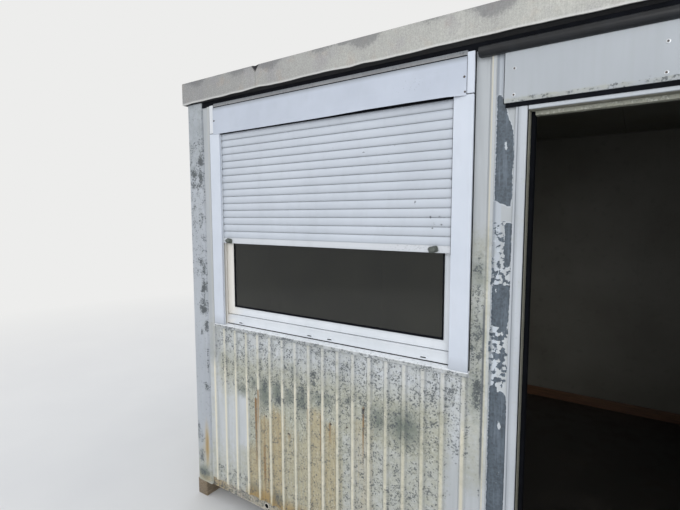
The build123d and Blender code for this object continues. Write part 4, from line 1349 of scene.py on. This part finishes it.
def shutter():
    """Slats of the curtain from one slat shape, the end bar, its stops and the guides."""
    (x0, x1), (front, _), (low, high) = span("shutter_curtain")
    pitch = 40.0
    bulge = [(2.2, 0.4), (1.0, 2.0), (0.2, 9.0), (0.0, 18.0), (0.5, 28.0), (1.8, 35.0), (4.2, 38.2),
             (4.6, 39.6), (8.8, 39.6), (9.4, 30.0), (9.6, 12.0), (8.8, 0.4)]
    first = low - 7
    spots = [((x0 + x1) / 2, front, z) for z in np.arange(first, high - pitch / 2, pitch)]

    def slat_wear(x, _, z):
        """Shade and dirt toward the joint of each slat, and the marks."""
        within = (z - first) / pitch % 1
        joints = 0.4 * np.exp(-(((within - 0.02) / 0.03) ** 2))
        joints += 0.8 * np.exp(-(((within - 0.985) / 0.018) ** 2))
        marks = blots(x, z, [(*mark, 0.95) for mark in SLAT_MARKS])
        return {"aged": 0.04, "crease": 0.24 * (1 - within) + joints, "specks": marks}

    slat = swept("x", bulge, (x0 - x1) / 2, (x1 - x0) / 2, 10)
    at_points("shutter_slats", [slat], spots, SLAT_PLASTIC, "shutter_plastic", "shutter_curtain",
              wear=slat_wear)

    bar_x, (face, back), (bar_low, bar_high) = span("shutter_bottom_bar")
    bar_low += 3
    bar_high -= 5
    rail = [(face, bar_low + 3), (face + 1, bar_low), (back, bar_low), (back, bar_high), (face + 2, bar_high),
            (face + 0.6, bar_high - 4), (face + 0.6, bar_low + 12), (face, bar_low + 10)]
    shape = swept("x", rail, *bar_x, 40)
    # The dark share over the bar, deepest along its top under the first slat, is painted shade
    make("shutter_end_bar", [shape], SLAT_PLASTIC, "shutter_plastic", "shutter_bottom_bar",
         wear=lambda x, _, z: {"aged": 0.2, "crease": 0.1 + 0.25 * (z > bar_high - 2),
                               "specks": blots(x, z, [(1500, bar_low + 20, 200, 30, 0.45)])})

    # Rubber stops: a short round bumper on a foot plate, one near each end of the bar
    (stop_left, stop_right), (_, behind), stop_z = span("shutter_stops")
    path = [(0, 0, 0), (0, -8, 0), (0, -16, 0), (0, -21, -0.5), (0, -24, -1), (0, -25.5, -1)]
    bumper = tube(path, [17, 18, 17.4, 15, 10, 3], 24, 0.72)
    foot = swept("depth", rounded(rectangle((-22, 22), (-14, 14)), 11, 4), -6.0, 0.0, ease=1.5)
    spots = [(x, behind, sum(stop_z) / 2) for x in (stop_left - 5, stop_right - 29)]
    at_points("shutter_stop_bumpers", [bumper, foot], spots, STOP_RUBBER, "stop_rubber", "shutter_stops",
              turn=0.3, seed=4)

    # Guides: channels with a brush strip in each slot
    guide_x, (g0, g1), (low, high) = span("shutter_guides")
    channel = [(0, g0), (62, g0), (62, g0 + 3), (24, g0 + 3), (24, g1 - 3), (62, g1 - 3), (62, g1), (0, g1)]
    shapes = []
    brushes = []
    for outer, way in zip(guide_x, (1, -1)):
        section = [(outer + way * a, depth) for a, depth in rounded(channel, 0.9, 2)]
        shapes.append(swept("z", section, low, high))
        brush_x = sorted((outer + way * 26, outer + way * 40))
        brushes.append(bar(brush_x, (g0 + 4, g1 - 4), (low + 1, high - 1), 1.0))
    # A warm tint on the left guide, painted light like the window's left members
    make("shutter_guide_channels", shapes, PLASTIC, "window_plastic", "shutter_guides",
         wear=lambda x, depth, _: {"aged": 0.9 * ramp(x, 330, 270) * (depth > 4)})
    make("guide_brush_strips", brushes, BLACK_RUBBER_AND_SHADOW, "seal_rubber")


# Doorway


def door_surround():
    """Jambs with bands and stops, head, threshold and seals."""
    (x0, x1), _, (_, high) = span("door_frame")
    (clear_left, clear_right), _, (_, head) = span("door_seal")
    low, back = FLOOR, WALL_THICKNESS
    stop = 15.0
    stop_depth = 46.0
    lap = 9.0
    shapes = []
    seals = []
    strips = []
    lip = [(0, 9), (2.6, 13), (3.0, 25), (2.0, 40), (0, 45)]
    for outer, inner, way in ((x0, clear_left, 1), (x1, clear_right, -1)):
        deep = inner + way * stop
        edge = inner - way * 3
        section = [(outer - way * lap, 0), (outer - way * 1.5, 0), (outer, 1.8), (outer + way * 1.5, 0),
                   (edge, 0), (edge, stop_depth), (deep, stop_depth + 2), (deep, back), (outer, back),
                   (outer, 4), (outer - way * lap, 4)]
        section = divided(rounded(section, [1.5, 0, 0, 0, 6, 1, 3, 3, 0, 0, 1], 4), 24)
        shapes.append(swept("z", section, low, high, 20))
        seals.append(swept("z", [(inner + way * a, depth) for a, depth in lip], low + 16, head))
        # Black strips: painted shade on the stop face beside the dark room and along the stop's inner side,
        # and the black front edge of the jamb's seal
        for start, end, depth, top, ease in ((2, stop - 1, (stop_depth - 2, stop_depth + 1.5), head - 2, 1.2),
                                             (-4, -0.5, (4, 9), head - 1, 0.8),
                                             (stop - 2, stop + 1.2, (stop_depth, back + 1), head - 2, 0.8)):
            strips.append(bar(sorted((inner + way * start, inner + way * end)), depth, (low + 17, top), ease))
    section = rounded([(0, head), (stop_depth, head), (stop_depth + 2, head - stop), (back, head - stop),
                       (back, high), (0, high)], [4, 1, 3, 3, 0, 0])
    shapes.append(swept("x", section, clear_left + 0.3, clear_right - 0.3, 60))

    def surround_wear(x, depth, z):
        """Grime low down, a grey-beige darkening on the faces turned in, and a dark line along the band's
        edge.
        """
        grime = ramp(z, 500, 0)
        return {"crease": 0.7 * np.exp(-(((x - x0) / 2.0) ** 2)) * (depth < 3), "mildew": 0.12 + 0.3 * grime,
                "dust": 0.05 + 0.2 * grime, "film": 0.15 + 0.75 * ramp(depth, 2, 12)}

    make("door_surround", shapes, DOOR_PAINT, "door_paint", "door_frame", angle=40, wear=surround_wear)
    top = low + 15
    step = rounded([(0, low), (0, top - 4), (4, top), (back, top), (back, low)], [0, 2, 2, 1, 0], 2)
    apron = rounded(rectangle((0.5, 13), (CLADDING_LOW, low - 1)), 1.5, 2)
    treads = [swept("x", step, clear_left, clear_right, 60), swept("x", apron, x0, x1, 60)]
    make("door_threshold", treads, BASE_PAINT, "door_paint", wear={"mildew": 0.4, "dust": 0.6, "rust": 0.12})
    seals.append(swept("x", [(depth, head - a) for a, depth in lip], clear_left + 3.3, clear_right - 3.3))
    make("door_seal_lips", seals, JAMB_SEAL, "seal_rubber", "door_seal")
    make("door_stop_strips", strips, BLACK_RUBBER_AND_SHADOW, "seal_rubber")


def over_door():
    """Header panel with black strips of painted shadow beside its left edge and under its lip, and the rain
    gutter.
    """
    panel_x, (face, _), (low, high) = span("door_header_panel")
    low -= 5.5
    section = [(face + 1, high), (face, high - 2), (face, low + 17), (face - 0.2, low + 13),
               (face + 3, low + 1), (0, low), (0, high)]

    def lip_wear(_, depth, z):
        """Dirt along the lower lip."""
        dirt = np.exp(-(((z - low - 8) / 9) ** 2))
        return {"mildew": 0.06 + 0.5 * dirt, "dust": 0.05, "film": 0.6 * dirt}

    sheet = swept("x", divided(section, 16), *panel_x, 30)
    make("door_header_sheet", [sheet], PANEL_PAINT, "door_paint", "door_header_panel",
         angle=20, wear=lip_wear)
    # Black strips of painted shadow: beside the panel's left edge and under its lower lip
    edges = [bar((panel_x[0] - 3.5, panel_x[0]), (-4, RIB_DEPTH), (low, high), 0.5)]
    edges.append(bar((panel_x[0] + 4, panel_x[1] - 4), (-4, 1), (low - 16, low), 0.5))
    make("header_panel_joints", edges, BLACK_RUBBER_AND_SHADOW, "seal_rubber")

    gutter_x, (face, _), (low, _) = span("door_gutter")
    radius = 21.0
    section = [(face + radius * (1 - math.cos(turn)), low + radius * (1 + math.sin(turn)))
               for turn in np.linspace(-1.5, 1.35, 16)]
    section += [(0, low + 2 * radius), (0, low + 1)]
    gutter = swept("x", section, *gutter_x, 80, ease=3)
    make("rain_gutter", [gutter], GUTTER_PLASTIC, "seal_rubber", "door_gutter", angle=40)


def fasteners():
    """Screws of the cover, the header panel, the cladding and the plain sides."""
    head = tube([(0, 0, 0), (0, -1.5, 0), (0, -3.0, 0)], [5.0, 4.6, 2.8], 14)
    washer = tube([(0, 0, 0), (0, -1.0, 0), (0, -1.6, 0)], [7.5, 7.0, 5.0], 16)
    cap = tube([(0, -1.0, 0), (0, -2.6, 0), (0, -3.2, 0)], [3.6, 3.4, 2.2], 12)
    cover_face = span("shutter_box_cover")[1][0]
    (left, right), (panel_face, _), _ = span("door_header_panel")
    header = [(x, panel_face, z) for x in (1896.0, (left + right) / 2, right - 34) for z in (2247, 2152)]
    at_points("header_washers", [washer], header, WASHER_METAL, "handle_metal", turn=3.0, seed=3)
    at_points("header_screws", [cap], header, SCREW_METAL, "handle_metal", turn=3.0, seed=5)
    front = [(x, cover_face, z) for x, z in ((1710, 2248), (1713, 2190), (250, 2252))]
    front += [(x, RIB_DEPTH, z) for x, z in ((1049, 645), (766, 514), (1242, 768), (1146, 654), (600, 571))]
    at_points("front_screws", [head], front, SCREW_METAL, "handle_metal", turn=3.0, seed=2)
    for seed, side in enumerate(("back", "left", "right"), 10):
        _, _, first, gaps = plain_ribs(side)
        columns = [first + RIB_PITCH * (gap + 0.5) for gap in range(0, gaps, 3)]
        spots = [(a, RIB_DEPTH, z) for a in columns for z in (80.0, 650.0, 1500.0, 2310.0)]
        at_points("wall_screws_" + side, [head], spots, SCREW_METAL, "handle_metal",
                  turn=3.0, seed=seed, side=side)


# Door leaf, which stands open square to the front


def door():
    """Leaf with a pressed border on both faces, handles with their plates and key slots."""
    (x0, x1), (y0, y1), (low, high) = span("door_leaf")
    outline = divided(rounded(rectangle((x0, x1), (y0, y1)), 2), 40)
    leaf = swept("z", outline, low, high, 60, ease=1.5)

    def foot_wear(x, depth, z):
        """Mildew and dust that grow toward the foot of the leaf."""
        lower = ramp(z, low + 260, low)
        return {"mildew": 0.12 + 0.25 * lower, "dust": 0.12 + 0.5 * lower}

    make("door_leaf_panel", [leaf], DOOR_PAINT, "door_paint", "door_leaf", angle=40, body="door",
         wear=foot_wear)
    _, (hy0, _), (hz0, hz1) = span("door_handles")
    middle_z = (hz0 + hz1) / 2
    lever_y = hy0 + 21
    borders = []
    handles = []
    key_slots = []
    inset = 70
    pressed = [(0, 0), (0.8, 1.2), (9.2, 1.2), (10, 0)]
    for face, way in ((x0, -1), (x1, 1)):
        points, faces = ring((y0 + inset, y1 - inset), (low + inset, high - inset), pressed)
        borders.append(([(face + way * (d - 0.2), a, h) for a, d, h in points], faces))
        plate = rounded(rectangle((hy0, hy0 + 42), (hz0, hz1)), 10, 5)
        handles.append(swept("x", plate, *sorted((face, face + way * 5)), ease=1.5))
        path = [(3, 0), (32, 0)]
        for turn in np.linspace(0, math.pi / 2, 6)[1:]:
            path.append((32 + 9 * math.sin(turn), 9 * (1 - math.cos(turn))))
        path += [(41, 60), (41, 105), (40, 116)]
        path = [(face + way * out, lever_y + along, middle_z) for out, along in path]
        handles.append(tube(path, [9] * 7 + [8.5, 8, 5], 16))
        handles.append(tube([(face + way * out, lever_y, middle_z - 72) for out in (3, 8)], [9, 8.6], 18))
        # A black bar for each key slot, painted shade in place of the opening
        slot_x = sorted((face + way * 7.5, face + way * 8.4))
        key_slots.append(bar(slot_x, (lever_y - 1.2, lever_y + 1.2), (middle_z - 77, middle_z - 67), 0.2))
    make("door_pressed_border", borders, DOOR_PAINT, "door_paint", body="door")
    make("door_lever_handles", handles, ALUMINIUM, "handle_metal", "door_handles", body="door")
    make("key_slots", key_slots, BLACK_RUBBER_AND_SHADOW, "seal_rubber", body="door")


def hinges():
    """Knuckles with turned ends and plates, one half of each of the three hinges on the
    frame and one on the leaf."""
    axis_x = span("door_hinges_frame")[0][0] + 8
    axis_y = -10.0
    half = 50.0
    for node, body in (("frame", "cabin"), ("leaf", "door")):
        low, high = span("door_hinges_" + node)[2]
        shapes = []
        for foot in stations(low, high - half, (high - low - half) / 2 + 0.001):
            knuckle = [(axis_x, axis_y, foot + up) for up in (0, 2, half - 2, half)]
            shapes.append(tube(knuckle, [6.8, 8, 8, 6.8], 20))
            if body == "cabin":
                shapes.append(bar((axis_x, axis_x + 32), (-3, 0), (foot, foot + half), 1.0))
            else:
                shapes.append(bar((axis_x - 8, axis_x - 5), (axis_y - 40, axis_y), (foot, foot + half), 1.0))
        make("hinge_halves_" + node, shapes, ALUMINIUM, "handle_metal", "door_hinges_" + node, body=body)


# Roof, floor and inside


def roof():
    """Zinc sheet with standing seams, each a folded upstand with a rolled top."""
    (x0, x1), (y0, y1), (low, high) = span("roof_sheet")
    deck = low + 6
    shapes = [bar((x0, x1), (y0, y1), (low, deck), 1.0)]
    fold = [(12, deck), (3.5, deck + 3), (3.5, high - 6), (6, high - 3), (3, high)]
    for seam in np.linspace(x0, x1, 7)[1:-1]:
        outline = [(seam - a, z) for a, z in fold] + [(seam + a, z) for a, z in reversed(fold)]
        shapes.append(swept("depth", outline, y0, y1, 200))
    make("roof_seamed_sheet", shapes, ZINC, "roof_zinc", "roof_sheet")


def inside():
    """Floor sheet, joists, ceiling boards and a brown skirting round the room."""
    make("floor_sheet", [bar(*span("floor_deck"), 1.0)], FLOOR_SHEET, "floor_covering", "floor_deck")
    (x0, x1), joist_y, (low, high) = span("floor_joists")
    width, steel = 60.0, 4
    fold = [(0, low), (width, low), (width, low + steel), (steel, low + steel), (steel, high - steel),
            (width, high - steel), (width, high), (0, high)]
    shapes = []
    for x in np.linspace(x0, x1 - width, 5):
        shapes.append(swept("depth", rounded([(x + a, z) for a, z in fold], 1.0, 1), *joist_y, 400))
    make("channel_joists", shapes, JOIST_STEEL, "joist_steel", "floor_joists")
    ceiling_x, ceiling_y, ceiling_z = span("ceiling_panel")
    joints = np.linspace(*ceiling_x, 5)
    boards = [bar((start + 1, end - 1), ceiling_y, ceiling_z, 3.0) for start, end in zip(joints, joints[1:])]
    make("ceiling_boards", boards, SHADED_LINING, "lining", "ceiling_panel")
    inner, outer, top = WALL_THICKNESS, WALL_THICKNESS + 11.0, FLOOR + 78.0
    section = [(inner, FLOOR + 0.5), (inner, top), (outer - 3, top), (outer, top - 5), (outer, FLOOR + 0.5)]
    section = rounded(section, [0, 0, 3, 3, 0], 2)
    shapes = [swept("x", section, inner, CABIN_LENGTH - inner, side="back")]
    shapes += [swept("x", section, outer, CABIN_WIDTH - outer, side=side) for side in ("left", "right")]
    shapes.append(swept("x", section, outer, span("front_wall_below_window")[0][1] - 2))
    make("skirting_boards", shapes, SKIRTING, "lining")


# Stage, lights and camera

PALE = linear("#EDEDEC")


def studio_floor():
    """Pale floor: to the eye it runs into the backdrop some metres out, and keeps the shadow."""
    size = 60.0
    mesh = bpy.data.meshes.new("studio_floor")
    corners = [(x, y, 0) for x, y in rectangle((-size, size), (-size, size))]
    mesh.from_pydata(corners, [], [(0, 1, 2, 3)])
    material, at = start_material("pale studio floor")
    tone = patches(at, 900, 0.3, 0.7)
    surface(material, coats("#DADADA", (tone, 1.0, "#DFDFDE")), 0.9, tone, 0.01)
    tree = material.node_tree
    rays = add(tree, "LightPath").outputs
    far = add(tree, "VectorMath", at, operation="LENGTH").outputs["Value"]
    share = add(tree, "MapRange", far, 2.5, 9.0)
    seen = add(tree, "Math", share, rays["Is Camera Ray"], operation="MULTIPLY")
    glow = add(tree, "Emission", PALE, 1.0)
    both = add(tree, "MixShader", seen, tree.nodes["Principled BSDF"], glow)
    tree.links.new(both.outputs[0], tree.nodes["Material Output"].inputs["Surface"])
    mesh.materials.append(material)
    link("studio_floor", mesh)


def stage():
    """Plain studio: the world, three soft lamps and the camera of the photo."""
    scene = bpy.context.scene
    scene.view_settings.view_transform = "Standard"
    world = bpy.data.worlds.new("studio")
    scene.world = world
    world.use_nodes = True
    tree = world.node_tree
    tree.nodes.clear()
    rays = add(tree, "LightPath").outputs
    seen = add(tree, "Math", rays["Is Camera Ray"], rays["Is Glossy Ray"], operation="MAXIMUM")
    seen = add(tree, "Math", seen, rays["Is Transmission Ray"], operation="MAXIMUM")
    sky = add(tree, "Background", linear("#F2F5FA"), 0.92)
    add(tree, "OutputWorld", add(tree, "MixShader", seen, sky, add(tree, "Background", PALE, 1.0)))

    lamps = (
        ("soft_light_left", (-4.5, -7.0, 4.6), 6.0, 80.0),
        ("soft_light_right", (3.4, -6.5, 3.4), 4.0, 194.0),
        ("soft_light_back", (2.0, 8.0, 6.0), 6.0, 150.0),
    )
    for name, spot, width, power in lamps:
        light = bpy.data.lights.new(name, "AREA")
        light.shape = "SQUARE"
        light.size = width
        light.energy = power
        lamp = link(name, light)
        lamp.location = spot
        lamp.rotation_euler = (Vector((0, 0.3, 1.2)) - Vector(spot)).to_track_quat("-Z", "Y").to_euler()

    # Solved from the edges of the cabin in the photo: 1.77 m in front of the posts, 1.8 m high
    eye = bpy.data.cameras.new("photo_camera")
    focal_share = 440 / 680
    eye.lens = focal_share * eye.sensor_width
    eye.clip_end = 200.0
    camera = link("photo_camera", eye)
    camera.location = place(2293, -1765, 1704)
    camera.rotation_euler = (math.radians(90 - 5.03), math.radians(0.10), math.radians(33.77))
    scene.camera = camera


for part in (walls, corner_posts, roof_edge, eaves, base_rails, timber_blocks, window_parts, cover_strips,
             drain_caps, box_cover, shutter, door_surround, over_door, fasteners, door, hinges, roof, inside,
             studio_floor, stage):
    part()
